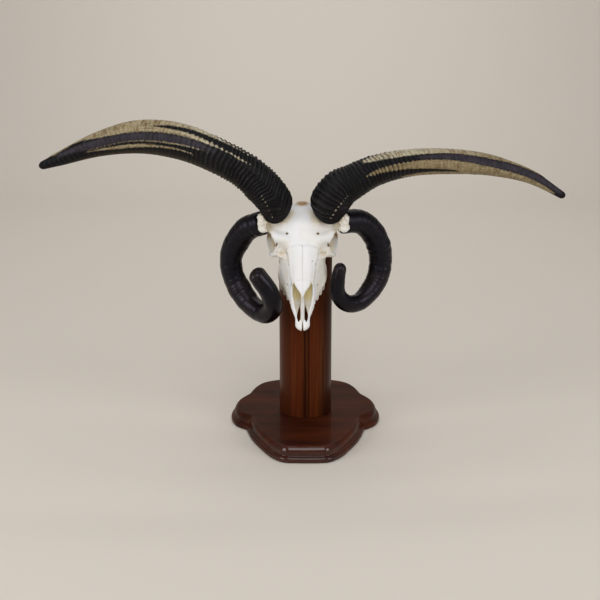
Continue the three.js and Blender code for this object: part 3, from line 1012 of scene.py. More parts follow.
@dataclass
class UpperHorn(Horn):
    """A long upper horn with strong rings near the skull and pale keels further out."""

    streaks: list = field(default_factory=list)
    slate: Streak | None = None
    lean: list = field(default_factory=lambda: [[-180, 0], [180, 0]])
    ring_pitches: list = field(default_factory=lambda: [[0, 4.8], [70, 5.0], [150, 7.6], [600, 8.4]])
    ring_height: float = 2.8
    ringed_length: float = 215.0
    ringed_reach: tuple[float, float] = (130.0, 200.0)
    lean_reach: tuple[float, float] = (60.0, 200.0)
    far_share: float = 0.85
    fine_pitch: float = 1.3
    fine_height: float = 0.16
    under_angles: tuple[float, float] = (80.0, 110.0)
    under_reach: tuple[float, float] = (90.0, 150.0)
    under_crest: float = 0.36
    olive_angles: tuple[float, float] = (118.0, 150.0)
    olive_reach: tuple[float, float] = (20.0, 120.0)
    olive_ends: tuple[float, float] = (70.0, 30.0)
    keel_radius: float = 22.0
    rim: float = 6.0
    seed: int = 1

    def relief(self, along: np.ndarray, angle: np.ndarray) -> tuple[np.ndarray, np.ndarray]:
        """Rings that fade out along the horn, fine lines between them and low keels under the streaks.

        Args:
            along: distance from the base in millimetres.
            angle: angle from the horn's top towards the front in degrees.

        Returns:
            The height in millimetres, and 0 in grooves to 1 on crests.
        """
        angles, shifts = zip(*self.lean)
        bend = np.interp(angle, angles, shifts) * fall(along, *self.lean_reach)
        bend = bend + 0.8 * np.sin(np.radians(angle * 3 + 40)) + 0.4 * np.sin(np.radians(angle * 7))
        place = along + bend
        place = place + 1.5 * waviness(place, self.seed, 15.0)
        start, pitch = zip(*self.ring_pitches)
        line = np.arange(-20.0, self.length + 20.0)
        phase = np.interp(place, line, np.cumsum(1.0 / np.interp(line, start, pitch)))
        ring = (0.5 - 0.5 * np.cos(2 * np.pi * phase)) ** 0.9
        number = np.floor(phase)
        strength = 0.7 + 0.15 * (number % 2.0) + 0.25 * waviness(number * 7.0 + 3.5, self.seed + 1, 7.0)
        strength = strength * (0.85 + 0.15 * waviness(angle + 13.0 * number, self.seed + 3, 30.0))
        fade = fall(along, self.ringed_length * 0.5, self.ringed_length)
        far = rise(along, self.ringed_length, self.length * self.far_share)
        fine = waviness(place, self.seed + 2, self.fine_pitch)
        under = rise(np.abs(angle), *self.under_angles) * rise(along, *self.under_reach)
        crest = ring * strength * (1.0 - 0.6 * under) + self.under_crest * under
        height = self.ring_height * (crest - 0.6) * (0.14 + 0.86 * fade) * (1.0 - 0.7 * far)
        height = height + self.fine_height * fine * (1.0 - 0.6 * far)
        radius = np.full_like(along, self.keel_radius)
        for streak in self.streaks:
            cover = streak.cover(along, angle, radius)
            height = height + streak.keel * rise(cover, 0.2, 1.0) * (1.0 - 0.5 * fade)
        edge = np.clip((self.length - along) / self.tip_fade, 0.0, 1.0)
        return height * edge * rise(along, 0.0, self.rim), crest

    def masks(self, along: np.ndarray, angle: np.ndarray, radius: np.ndarray) -> dict[str, np.ndarray]:
        """Pale streaks, the slate band between them and the olive underside.

        Args:
            along: distance from the base in millimetres.
            angle: angle from the horn's top towards the front in degrees.
            radius: the horn's radius there in millimetres.

        Returns:
            The values by name.
        """
        cream = np.zeros_like(along)
        tone = np.zeros_like(along)
        for streak in self.streaks:
            cover = streak.cover(along, angle, radius)
            place, value = zip(*streak.tones)
            tone = np.where(cover > cream, np.interp(along, place, value), tone)
            cream = np.maximum(cream, cover)
        slate = self.slate.cover(along, angle, radius)
        ringed = fall(along, *self.ringed_reach)
        olive = rise(np.abs(angle), *self.olive_angles) * rise(along, *self.olive_reach)
        olive = olive * fall(along, *(self.length - end for end in self.olive_ends))
        return {"cream": cream, "tone": tone, "slate": slate, "olive": olive, "ringed": ringed}


@dataclass
class LateralHorn(Horn):
    """A curled lateral horn: fine rings, low swellings and a worn, glossy tip."""

    tip_round: float = 10.0
    tip_fade: float = 9.0
    swell_pitch: float = 21.0
    swell_height: float = 0.22
    line_height: float = 0.24
    step_height: float = 0.3
    belt_start: tuple[float, float] = (130.0, 145.0)
    belt_end: tuple[float, float] = (190.0, 215.0)
    belt_wear: float = 0.45
    worn_tip: tuple[float, float] = (28.0, 6.0)
    tip_wear: float = 0.8
    seed: int = 5

    def relief(self, along: np.ndarray, angle: np.ndarray) -> tuple[np.ndarray, np.ndarray]:
        """Fine rings on slow swellings, both fading towards the tip.

        Args:
            along: distance from the base in millimetres.
            angle: angle from the horn's top towards the front in degrees.

        Returns:
            The height in millimetres, and 0 in grooves to 1 on crests.
        """
        bend = 1.1 * np.sin(np.radians(angle + 70)) + 0.5 * np.sin(np.radians(angle * 3))
        place = along + bend
        fade = 1.0 - 0.75 * rise(along, self.length * 0.45, self.length * 0.75)
        swell = np.sin(2 * np.pi * (place + 6.0 * waviness(along, self.seed, 40.0)) / self.swell_pitch)
        lines = waviness(place, self.seed + 1, 1.7)
        steps = waviness(place, self.seed + 2, 5.0)
        height = fade * (self.swell_height * swell + self.line_height * lines + self.step_height * steps)
        edge = np.clip((self.length - along) / self.tip_fade, 0.0, 1.0)
        return height * edge, 0.5 + 0.5 * steps

    def masks(self, along: np.ndarray, angle: np.ndarray, radius: np.ndarray) -> dict[str, np.ndarray]:
        """Where the horn is worn brown: a belt half way round and the very tip.

        Args:
            along: distance from the base in millimetres.
            angle: angle from the horn's top towards the front in degrees.
            radius: the horn's radius there in millimetres.

        Returns:
            The values by name.
        """
        belt = rise(along, *self.belt_start) * fall(along, *self.belt_end)
        tip = rise(along, *(self.length - end for end in self.worn_tip))
        return {"worn": self.belt_wear * belt + self.tip_wear * tip}


# ---------------------------------------------------------------- skull


class Field:
    """Distances from a surface on an even grid in the skull's own frame, negative inside."""

    def __init__(self, low: Sequence[float], high: Sequence[float], cell: float) -> None:
        """Sets up an empty grid.

        Args:
            low: lowest corner in millimetres.
            high: highest corner in millimetres.
            cell: distance between grid points.
        """
        self.cell = cell
        self.axes = [np.arange(a, b + cell, cell, dtype=np.float32) for a, b in zip(low, high)]
        self.values = np.full([len(axis) for axis in self.axes], 50.0, dtype=np.float32)

    def window(self, box: Box) -> tuple:
        """The part of the grid that holds a box, and the places in it.

        Args:
            box: lowest and highest corner.

        Returns:
            The slices, and x, y and z as arrays that broadcast together.
        """
        cuts = []
        for axis, a, b in zip(self.axes, *box):
            cuts.append(slice(int(np.searchsorted(axis, a)), int(np.searchsorted(axis, b)) + 1))
        places = [axis[cut] for axis, cut in zip(self.axes, cuts)]
        return tuple(cuts), places[0][:, None, None], places[1][None, :, None], places[2][None, None, :]

    def join(self, shape: Shape, box: Box, soft: float = 0.0) -> None:
        """Adds a shape.

        Args:
            shape: the shape's distances.
            box: where it reaches.
            soft: width of the soft inner corner.
        """
        cuts, x, y, z = self.window(box)
        self.values[cuts] = soft_least(self.values[cuts], shape(x, y, z), soft)

    def cut(self, shape: Shape, box: Box, soft: float = 0.0) -> None:
        """Takes a shape away.

        Args:
            shape: the shape's distances.
            box: where it reaches.
            soft: width of the soft outer corner.
        """
        cuts, x, y, z = self.window(box)
        self.values[cuts] = -soft_least(-self.values[cuts], shape(x, y, z), soft)


def ball(centre: Sequence[float], radii: Sequence[float], margin: float = 8.0) -> tuple[Shape, Box]:
    """An ellipsoid.

    Args:
        centre: its middle.
        radii: its reach along each axis.
        margin: how far past the ellipsoid its box goes.

    Returns:
        Its distance function and the box that holds it.
    """
    c = np.array(centre, dtype=float)
    r = np.array(radii, dtype=float)

    def shape(x: np.ndarray, y: np.ndarray, z: np.ndarray) -> np.ndarray:
        """Distance from the ellipsoid."""
        u, v, w = x - c[0], y - c[1], z - c[2]
        k0 = np.sqrt((u / r[0]) ** 2 + (v / r[1]) ** 2 + (w / r[2]) ** 2)
        k1 = np.sqrt((u / r[0] ** 2) ** 2 + (v / r[1] ** 2) ** 2 + (w / r[2] ** 2) ** 2)
        return k0 * (k0 - 1.0) / np.maximum(k1, 1e-6)

    return shape, (c - r - margin, c + r + margin)


def rod(stations: Sequence[Sequence[float]], margin: float = 8.0, steps: int = 4) -> tuple[Shape, Box]:
    """A smooth bar of changing thickness.

    Args:
        stations: places along it as [x, y, z, radius].
        margin: how far past the bar its box goes.
        steps: how many straight lengths there are between two stations.

    Returns:
        Its distance function and the box that holds it.
    """
    run = curve_points(stations, steps) if len(stations) > 2 else np.array(stations, dtype=float)
    reach = run[:, 3:].max() + margin

    def shape(x: np.ndarray, y: np.ndarray, z: np.ndarray) -> np.ndarray:
        """Distance from the bar."""
        best = None
        for a, b in zip(run[:-1], run[1:]):
            way = b[:3] - a[:3]
            u, v, w = x - a[0], y - a[1], z - a[2]
            t = np.clip((u * way[0] + v * way[1] + w * way[2]) / way.dot(way), 0.0, 1.0)
            d = np.sqrt((u - t * way[0]) ** 2 + (v - t * way[1]) ** 2 + (w - t * way[2]) ** 2)
            d = d - (a[3] + (b[3] - a[3]) * t)
            best = d if best is None else np.minimum(best, d)
        return best

    return shape, (run[:, :3].min(axis=0) - reach, run[:, :3].max(axis=0) + reach)


def outline_distance(outline: Sequence[Sequence[float]], y: np.ndarray, z: np.ndarray) -> np.ndarray:
    """Distance from a closed outline in side view, negative inside.

    Args:
        outline: corners as [y, z].
        y: places along the head.
        z: places up from the palate.

    Returns:
        The distance of each place.
    """
    corners = np.array(outline, dtype=float)
    best = np.full(np.broadcast(y, z).shape, 1e6)
    inside = np.zeros(best.shape, dtype=bool)
    for a, b in zip(corners, np.roll(corners, -1, axis=0)):
        way = b - a
        u, v = y - a[0], z - a[1]
        t = np.clip((u * way[0] + v * way[1]) / max(way.dot(way), 1e-9), 0.0, 1.0)
        best = np.minimum(best, (u - t * way[0]) ** 2 + (v - t * way[1]) ** 2)
        crosses = (a[1] > z) != (b[1] > z)
        rise = way[1] if abs(way[1]) > 1e-9 else 1e-9
        inside ^= crosses & (u < way[0] * (z - a[1]) / rise)
    return np.where(inside, -np.sqrt(best), np.sqrt(best))


def skin_of(values: np.ndarray, axes: Sequence[np.ndarray]) -> tuple[np.ndarray, np.ndarray]:
    """Finds the surface where a block of distances is zero, as surface nets.

    Args:
        values: distances on the grid, positive on its whole border.
        axes: the grid's three lists of places.

    Returns:
        The vertices in millimetres and the four-cornered faces.
    """
    inside = values < 0
    shape = np.array(values.shape) - 1
    total = np.zeros((*shape, 3), dtype=np.float32)
    count = np.zeros(shape, dtype=np.float32)
    corner = np.array([[i, j, k] for i in (0, 1) for j in (0, 1) for k in (0, 1)])
    for a in corner:
        for axis in range(3):
            if a[axis]:
                continue
            b = a.copy()
            b[axis] = 1
            first = tuple(slice(o, o + n) for o, n in zip(a, shape))
            second = tuple(slice(o, o + n) for o, n in zip(b, shape))
            crossing = inside[first] != inside[second]
            fa, fb = values[first][crossing], values[second][crossing]
            share = fa / (fa - fb)
            place = np.repeat(a[None].astype(np.float32), len(share), axis=0)
            place[:, axis] += share
            total[crossing] += place
            count[crossing] += 1
    active = count > 0
    number = np.full(shape, -1, dtype=np.int64)
    number[active] = np.arange(int(active.sum()))
    low = np.array([axis[0] for axis in axes])
    cell = axes[0][1] - axes[0][0]
    points = low + (np.argwhere(active) + total[active] / count[active][:, None]) * cell
    faces = []
    for axis in range(3):
        u, v = (axis + 1) % 3, (axis + 2) % 3
        first = [slice(1, n) for n in shape]
        first[axis] = slice(0, shape[axis])
        second = list(first)
        second[axis] = slice(1, shape[axis] + 1)
        crossing = inside[tuple(first)] != inside[tuple(second)]
        at = np.argwhere(crossing)
        offset = np.array([1, 1, 1])
        offset[axis] = 0
        at = at + offset
        step_u = np.zeros(3, dtype=int)
        step_v = np.zeros(3, dtype=int)
        step_u[u] = 1
        step_v[v] = 1
        ring = [at - step_u - step_v, at - step_v, at, at - step_u]
        quads = np.stack([number[tuple(place.T)] for place in ring], axis=1)
        outward = inside[tuple(first)][crossing]
        quads[~outward] = quads[~outward][:, ::-1]
        faces.append(quads)
    return points, np.vstack(faces)


@dataclass
class Skull:
    """The ram's skull without its lower jaw, worked out whole and parted into ten bones."""

    horns: list
    cell: float
    low: tuple[float, ...] = (-90, -3, -14)
    high: tuple[float, ...] = (90, 240, 104)
    length: float = 229.0
    seam: float = 0.04
    cheek_depth: float = 31.0
    # Radius at the rim and depth behind it.
    orbit_wall: tuple[float, float] = (24.0, 30.0)
    orbit_hollow: tuple[float, float] = (20.8, 20.0)
    crown_height: float = 9.0
    palate_level: float = -3.7
    palate_back: float = 143.0
    horn_seat_gap: float = 0.6
    lip_width: float = 2.5
    lip_height: float = -9.0
    lip_soft: float = 5.0
    poll_place: float = 198.0
    poll_reach: float = 10.0
    poll_depth: float = 1.8
    poll_limit: float = 1.3
    jaw_cream: float = 0.45
    stump_cream: float = 0.6
    socket_wax: float = 0.55
    collar_reach: tuple[float, float] = (1.0, 9.0)
    paired: tuple[str, ...] = ("premaxilla", "nasal", "maxilla")
    wavy: tuple[str, ...] = ("nasal", "frontal")
    vomer: list = field(default_factory=lambda: [
        [0, 14, 6, 2.6], [0, 30, 8, 3.4], [0, 40, 11, 3.4], [0, 48, 17, 3.0], [0, 60, 28, 2.4],
        [0, 80, 38, 2.0]])
    # Along the head: place, underside, top, half width below and half width above.
    sections: list = field(default_factory=lambda: [
        [-6, 4, 6, 0.2, 0.2], [0, 2, 8, 3, 3], [3.5, 1, 10, 8.5, 7], [9, 0.5, 12, 12, 10],
        [20, 2, 15, 12, 10.5], [30, 3, 21, 15.5, 13.5], [40, 3, 30, 19, 17], [52, 2, 39, 21, 18],
        [63, 1, 46.5, 24.5, 17.5], [75, 0, 53.5, 29.5, 18], [87, 0, 60, 34, 19], [98, 0, 66, 36.5, 22],
        [112, 0, 72, 37, 27], [124, 1, 78, 37, 38], [138, 2, 85, 32, 45], [152, 1, 90, 28, 46],
        [168, 0, 90, 27, 43], [184, 2, 86, 30, 36], [198, 3, 77, 32, 33], [212, 5, 64, 31, 29],
        [223, 10, 50, 25, 24], [229, 18, 45, 14, 14], [236, 28, 34, 0.2, 0.2]])
    # Spots of painted shade in brown, alike on both sides, where shadow falls under the brow and in the
    # slits and pits about the eyes: middle, reach each way, and depth (1 for tan, 2 for dark brown).
    shade_spots: list = field(default_factory=lambda: [
        [[54, 136, 70], [3.5, 4.5, 4], 1.2], [[41.5, 148, 34], [3, 3, 4.5], 2.2],
        [[55, 160, 46], [6, 6, 6], 1.5], [[31, 114, 54], [4.5, 2, 2.5], 0.5],
        [[40.5, 113, 60], [2.5, 4, 4], 1.0]])

    def braincase_and_muzzle(self, x: np.ndarray, y: np.ndarray, z: np.ndarray) -> np.ndarray:
        """Distance from the long body of the skull, without arches and rims.

        Args:
            x: across the head.
            y: along the head.
            z: up from the palate.

        Returns:
            Negative inside.
        """
        line = y.ravel()
        low, high, below, above = along_head(self.sections, y)
        up = np.clip((z - low) / (high - low), 0.0, 1.0)
        head = rise(line, 108.0, 134.0) + fall(line, 44.0, 66.0)
        head = head[None, :, None].astype(np.float32)
        cheek = np.interp(up, [0.0, 0.12, 0.28, 0.5, 0.75, 1.0], [0.9, 0.99, 1.0, 0.76, 0.42, 0.0])
        half = above + (below - above) * (cheek + (1.0 - up - cheek) * head)
        power = 4.0 - 1.4 * head
        u = np.abs(x) / half
        v = np.abs(2.0 * (z - low) / (high - low) - 1.0)
        scale = np.minimum(half, (high - low) / 2)
        inner = (u**power + v**power) ** (1.0 / power) - 1.0
        ends = np.maximum(-y, y - self.length)
        return np.maximum(inner * scale, ends).astype(np.float32)

    def build_field(self) -> Field:
        """Works out the whole skull as distances.

        Returns:
            The filled grid.
        """
        whole = Field(self.low, self.high, self.cell)
        whole.join(self.braincase_and_muzzle, (self.low, self.high))
        for side in Side:
            s = side.value
            whole.join(self.orbit_shape(s, *self.orbit_wall, 2.0), self.orbit_box(s, 42.0), 4.0)
            for stations, soft in self.rods(s):
                whole.join(*rod(stations), soft)
            for centre, radii, soft in self.bumps(s):
                whole.join(*ball(centre, radii), soft)
            for centre, radii, soft in self.dents(s):
                whole.cut(*ball(centre, radii), soft)
        self.roughen_stumps(whole)
        self.cut_orbits(whole)
        self.open_nose(whole)
        whole.join(*rod(self.vomer, 4.0), 1.5)
        self.add_nose_bones(whole)
        for side in Side:
            self.add_teeth(whole, side.value)
            self.cut_holes(whole, side.value)
        self.cut_notch(whole)
        self.seat_horns(whole)
        whole.cut(*ball([0, 233, 24], [9, 15, 9]), 1.5)
        whole.cut(self.under_palate, ((-90, 100, -14), (90, 240, 12)))
        return whole

    def under_palate(self, x: np.ndarray, y: np.ndarray, z: np.ndarray) -> np.ndarray:
        """Distance from the space under the back of the palate, which is kept clear of the column."""
        return np.maximum(z - self.palate_level, self.palate_back - y) + 0 * x

    def rods(self, s: int) -> list:
        """Shelf over the eye, cheek arch and smaller processes of one side.

        Args:
            s: the side.

        Returns:
            The stations of each bar, and how softly it joins.
        """
        shelf = [[s * 28, 126, 73, 8], [s * 42, 132, 74, 6], [s * 50, 140, 75, 4], [s * 51, 150, 75, 4],
                 [s * 44, 161, 75, 8]]
        arch = [[s * 29, 112, 52, 6], [s * 37, 116, 50, 5.4], [s * 44.5, 121, 44.5, 5],
                [s * 49, 126, 41, 4.6], [s * 50.5, 139, 36.5, 4.2], [s * 50.5, 152, 37, 4.4],
                [s * 50.5, 165, 41, 4.4], [s * 46, 182, 44, 4.8], [s * 32, 197, 40, 7]]
        pillar = [[s * 50, 148, 36, 4.2], [s * 51.5, 157, 46, 3.2], [s * 52, 159, 60, 3.0],
                  [s * 51, 154, 72, 4.2]]
        stump = [[s * 28, 162, 73, 18], [s * 44, 161, 76, 14.5], [s * 53, 160, 77, 13.5],
                 [s * 66, 160, 77, 12.5]]
        spur = [[s * 28, 206, 22, 8], [s * 29, 212, 8, 5], [s * 27, 214, -2, 3]]
        wing = [[s * 13, 150, 14, 7], [s * 13, 158, 4, 5.5], [s * 12, 166, -1.5, 4.4], [s * 12, 180, 2, 6]]
        crest = [[s * 34, 118, 16, 3.5], [s * 33, 100, 13, 4], [s * 29, 84, 13, 3.6]]
        bars = (shelf, arch, pillar, stump, spur, wing, crest)
        return list(zip(bars, (9.0, 6.0, 4.0, 8.0, 4.0, 4.0, 6.0)))

    def bumps(self, s: int) -> list:
        """Ear bulb, nape knob, cheek swelling, the knobs about the horn stump and the knob of the poll.

        Args:
            s: the side.

        Returns:
            Middle, reach each way and softness of each.
        """
        return [
            ([s * 19, 196, 5], [8, 12, 8.7], 3.0),
            ([s * 12, 223, 17], [9.5, 8.5, 9.5], 3.0),
            ([s * 30, 104, 15], [7.5, 21, 11], 5.0),
            ([s * 59, 150, 87], [6, 5.5, 5.5], 2.0),
            ([s * 63, 147, 77], [7, 6, 7], 2.0),
            ([s * 58, 151, 64], [5.5, 7, 5], 2.0),
            ([s * 51, 146, 70], [5, 5, 4.5], 2.5),
            ([s * 60, 164, 90], [6, 8, 5], 2.5),
            ([s * 65 + 1, 151, 95], [6, 6.5, 7], 4.0),
            ([s * 64 + 1, 146, 90], [7, 7, 7], 4.0),
            ([s * 64 + 2, 140, 82], [7.5, 7, 7.5], 4.0),
            ([s * 57, 147, 84], [8, 6, 9], 4.0),
            ([s * 4, 197, 75.5], [9, 6.5, 4.5], 4.0),
        ]

    def dents(self, s: int) -> list:
        """Hollow of the temple, the pits before the eye and under the stump, and the flat of the cheek.

        Args:
            s: the side.

        Returns:
            Middle, reach each way and softness of each.
        """
        return [
            ([s * 44, 178, 62], [13, 20, 15], 6.0),
            ([s * 33, 111, 60.5], [7.5, 7, 8.5], 1.5),
            ([s * 54, 133, 73], [5.5, 5.5, 6.5], 1.5),
            ([s * 38, 72, 44], [10, 24, 11], 9.0),
            ([s * 53, 143, 85], [7, 6, 7], 3.0),
        ]

    def roughen_stumps(self, whole: Field) -> None:
        """Gives the horn stumps the lumpy, porous skin of bone that lay under a horn.

        Args:
            whole: the skull's distances, which it changes.
        """
        lump_height = 1.7
        for side in Side:
            s = side.value
            cuts, x, y, z = whole.window(((s * 58 - 16, 136, 54), (s * 58 + 16, 184, 102)))
            near = rise(np.abs(x), 46.0, 54.0) * fall(y, 158.0, 170.0)
            lumps = np.sin(0.95 * x + 0.5 * y + s) * np.sin(0.8 * y - 0.6 * z) * np.sin(0.9 * z + 0.4 * x)
            pits = np.sin(1.7 * x - 0.9 * z) * np.sin(1.5 * y + 0.8 * x + 2.0) * np.sin(1.6 * z)
            whole.values[cuts] -= (near * (lump_height * lumps + pits)).astype(np.float32)

    def orbit_axes(self, s: int) -> tuple[np.ndarray, np.ndarray]:
        """Middle of an eye socket and the way it faces."""
        facing = np.array([s * 0.95, -0.2, 0.25])
        return np.array([s * 47.0, 141.0, 53.5]), facing / np.linalg.norm(facing)

    def orbit_box(self, s: int, reach: float) -> Box:
        """The box about an eye socket's middle."""
        middle, _ = self.orbit_axes(s)
        return middle - reach, middle + reach

    def orbit_shape(self, s: int, radius: float, depth: float, lift: float) -> Shape:
        """A cup about an eye socket's axis: a half ellipsoid behind its rim.

        Args:
            s: the side.
            radius: radius at the rim.
            depth: depth behind the rim.
            lift: how far the cup is drawn out past the rim.

        Returns:
            The cup's distance function.
        """
        middle, facing = self.orbit_axes(s)

        def shape(x: np.ndarray, y: np.ndarray, z: np.ndarray) -> np.ndarray:
            """Distance from the cup."""
            u, v, w = x - middle[0], y - middle[1], z - middle[2]
            h = u * facing[0] + v * facing[1] + w * facing[2]
            r = np.sqrt(np.maximum(u * u + v * v + w * w - h * h, 0.0))
            k = np.sqrt((r / radius) ** 2 + (np.minimum(h, 0.0) / depth) ** 2)
            return np.maximum((k - 1.0) * min(radius, depth), h - lift)

        return shape

    def cut_orbits(self, whole: Field) -> None:
        """Hollows out both eye sockets.

        Args:
            whole: the skull's distances, which it changes.
        """
        for side in Side:
            hollow = self.orbit_shape(side.value, *self.orbit_hollow, 40.0)
            whole.cut(hollow, self.orbit_box(side.value, 46.0), 1.6)

    def open_nose(self, whole: Field) -> None:
        """Opens the nose passage: roofless in front, running in under the nose bones.

        Args:
            whole: the skull's distances, which it changes.
        """
        stations = [[12, 9, 60, 1.0], [16, 8, 60, 5], [26, 6.5, 60, 9.6], [40, 7, 60, 13.6],
                    [52, 12, 60, 15.4], [60, 19, 50, 15.0], [66, 24, 44, 12], [100, 46, 48, 6]]

        def shape(x: np.ndarray, y: np.ndarray, z: np.ndarray) -> np.ndarray:
            """Distance from the passage."""
            low, high, half = along_head(stations, y)
            sides = np.abs(x) - half * (0.8 + 0.2 * np.clip((z - low) / 14.0, 0.0, 1.0))
            ends = np.maximum(stations[0][0] - y, y - stations[-1][0])
            return np.maximum(np.maximum(sides, low - z), np.maximum(z - high, ends))

        whole.cut(shape, ((-24, 4, 0), (24, 108, 72)), 2.0)

    def add_nose_bones(self, whole: Field) -> None:
        """Adds the two arched nose bones with their free, pointed ends.

        Args:
            whole: the skull's distances, which it changes.
        """
        stations = [[39, 36.8, 0.4], [41, 38, 1.4], [45, 40.3, 3.0], [50, 43.2, 5.9], [56, 46.5, 10.2],
                    [60, 48.8, 12.2], [66, 52, 12.9], [84, 61, 13.3], [104, 70.8, 13.5], [114, 74, 13]]
        thickness = 4.2

        def shape(x: np.ndarray, y: np.ndarray, z: np.ndarray) -> np.ndarray:
            """Distance from the nose bones."""
            top, half = along_head(stations, y)
            arch = top - (np.abs(x) / np.maximum(half, 1.0)) ** 3.2 * half * 0.32
            shell = np.maximum(z - arch, arch - thickness - z) * 0.9
            ends = np.maximum(stations[0][0] - y, y - stations[-1][0])
            return np.maximum(np.maximum(shell, np.abs(x) - half), ends)

        whole.join(shape, ((-24, 26, 22), (24, 63, 86)), 1.2)
        whole.join(shape, ((-24, 63, 22), (24, 122, 86)), 4.0)

    def add_teeth(self, whole: Field, s: int) -> None:
        """Adds six cheek teeth, small ones in front, with the crescent folds of their crowns.

        Args:
            whole: the skull's distances, which it changes.
            s: the side.
        """
        teeth = [[64, 8, 17, 7], [73, 9, 21.5, 8.5], [83, 9.5, 26, 10], [94.5, 13, 29.5, 12],
                 [108.5, 14.5, 31, 12.5], [123.5, 15, 31, 12]]
        crown = self.crown_height
        for place, length, middle, wide in teeth:

            def shape(x: np.ndarray, y: np.ndarray, z: np.ndarray) -> np.ndarray:
                """Distance from one tooth."""
                taper = 1.0 - 0.12 * np.clip(-z / crown, 0.0, 1.0)
                u = (x - s * middle) / (wide / 2 * taper)
                v = (y - place) / (length / 2 * taper)
                wall = ((np.abs(u) ** 4 + np.abs(v) ** 4) ** 0.25 - 1.0) * min(wide, length) / 2
                folds = 0.5 * np.cos(2 * np.pi * v) + 0.0 * x
                ridges = -crown + 1.2 * np.cos(2 * np.pi * (y - place) / length) + 0.8 * np.abs(u)
                return np.maximum(wall + folds * (np.abs(v) < 1.0) * 0.6, np.maximum(ridges - z, z - 12.0))

            box = ((s * middle - 12, place - 12, -14), (s * middle + 12, place + 12, 14))
            whole.join(shape, box, 0.6)

    def cut_holes(self, whole: Field, s: int) -> None:
        """Cuts the slits of the palate and the small holes for vessels on one side.

        Args:
            whole: the skull's distances, which it changes.
            s: the side.
        """
        slit = [[11, 5.6, 0.3], [15, 5.8, 1.6], [22, 6.0, 2.7], [28, 5.9, 2.7], [36, 5.3, 2.0],
                [47, 4.4, 0.3]]

        def slit_shape(x: np.ndarray, y: np.ndarray, z: np.ndarray) -> np.ndarray:
            """Distance from the slit."""
            middle, half = along_head(slit, y)
            return np.maximum(np.abs(x - s * middle) - half, np.maximum(11 - y, y - 48)) + 0 * z

        whole.cut(slit_shape, ((-14, 6, -14), (14, 51, 40)), 0.8)
        holes = [
            [[s * 25, 126, 92, 2.1], [s * 23.5, 136, 72, 2.1]],
            [[s * 40, 113.5, 78.5, 1.6], [s * 40, 155, 23.5, 1.6]],
            [[s * 40.4, 111, 76.5, 1.5], [s * 40.4, 152.5, 21.5, 1.5]],
            [[s * 29, 62, 28, 2.2], [s * 18, 78, 28, 2.2]],
        ]
        if s > 0:
            holes.append([[15.8, 87, 76, 1.0], [15, 93, 58, 1.0]])
        for hole in holes:
            whole.cut(*rod(hole, 4.0), 0.8)

    def cut_notch(self, whole: Field) -> None:
        """Cuts the narrow notch between the two bones of the muzzle's tip.

        Args:
            whole: the skull's distances, which it changes.
        """

        def shape(x: np.ndarray, y: np.ndarray, z: np.ndarray) -> np.ndarray:
            """Distance from the notch."""
            half = 1.5 - 0.1 * np.maximum(y, 0.0)
            return np.maximum(np.abs(x) - half, y - 11.5) + 0 * z

        whole.cut(shape, ((-5, -3, -14), (5, 18, 24)), 0.6)

    def seat_horns(self, whole: Field) -> None:
        """Cuts the seat that each horn's base fills, with a low, lumpy lip of bone about the upper ones.

        Args:
            whole: the skull's distances, which it changes.
        """
        reach = 62.0
        horn_reach = 90.0
        for horn in self.horns:
            base = skull_frame(horn.centre[0], True)
            cuts, x, y, z = whole.window((base - reach, base + reach))
            away = horn.distance(x, y, z, horn_reach)
            here = whole.values[cuts]
            way = skull_frame(horn.way[0], False)
            up = (x - base[0]) * way[0] + (y - base[1]) * way[1] + (z - base[2]) * way[2]
            lumps = np.sin(0.33 * x + 0.21 * y) * np.sin(0.27 * y - 0.31 * z + 1.0)
            if isinstance(horn, UpperHorn):
                side = away - self.lip_width - 0.8 * lumps
                lip = np.maximum(side, up - self.lip_height - 1.5 * lumps)
                here = soft_least(here, lip, self.lip_soft)
            whole.values[cuts] = np.maximum(here, self.horn_seat_gap - away)

    def bone_regions(self) -> dict[str, list]:
        """Outlines of the bones in side view.

        Returns:
            Corners as [y, z] in the skull's frame, by the bone's name.
        """
        tip_seam = [[46, -20], [46, 8], [53, 24]]
        nose_seam = [[20, 22], [37, 29.5], [64, 41], [84, 50.5], [107, 62], [113, 64], [113, 120]]
        brow_seam = [[64, 41], [84, 50.5], [107, 62], [118, 52], [126, 34], [136, 14], [138, -20]]
        crown_seam = [[126, 34], [150, 40], [178, 62], [198, 104], [198, 120]]
        return {
            "premaxilla": [[-20, -20], *tip_seam, *nose_seam[2::-1], [-20, 22]],
            "nasal": [*nose_seam, [20, 120]],
            "maxilla": [*tip_seam, *brow_seam],
            "frontal": [[107, 62], [113, 64], [113, 120], *crown_seam[::-1], [118, 52]],
            "braincase": [*crown_seam, [260, 120], [260, -20], [138, -20], [136, 14]],
        }

    def cheek_distance(self, y: np.ndarray, z: np.ndarray) -> np.ndarray:
        """Distance from the cheek bone's outline in side view."""
        outline = [[104, 10], [140, 8], [176, 24], [176, 54], [150, 52], [122, 42], [102, 26]]
        return outline_distance(outline, y, z)

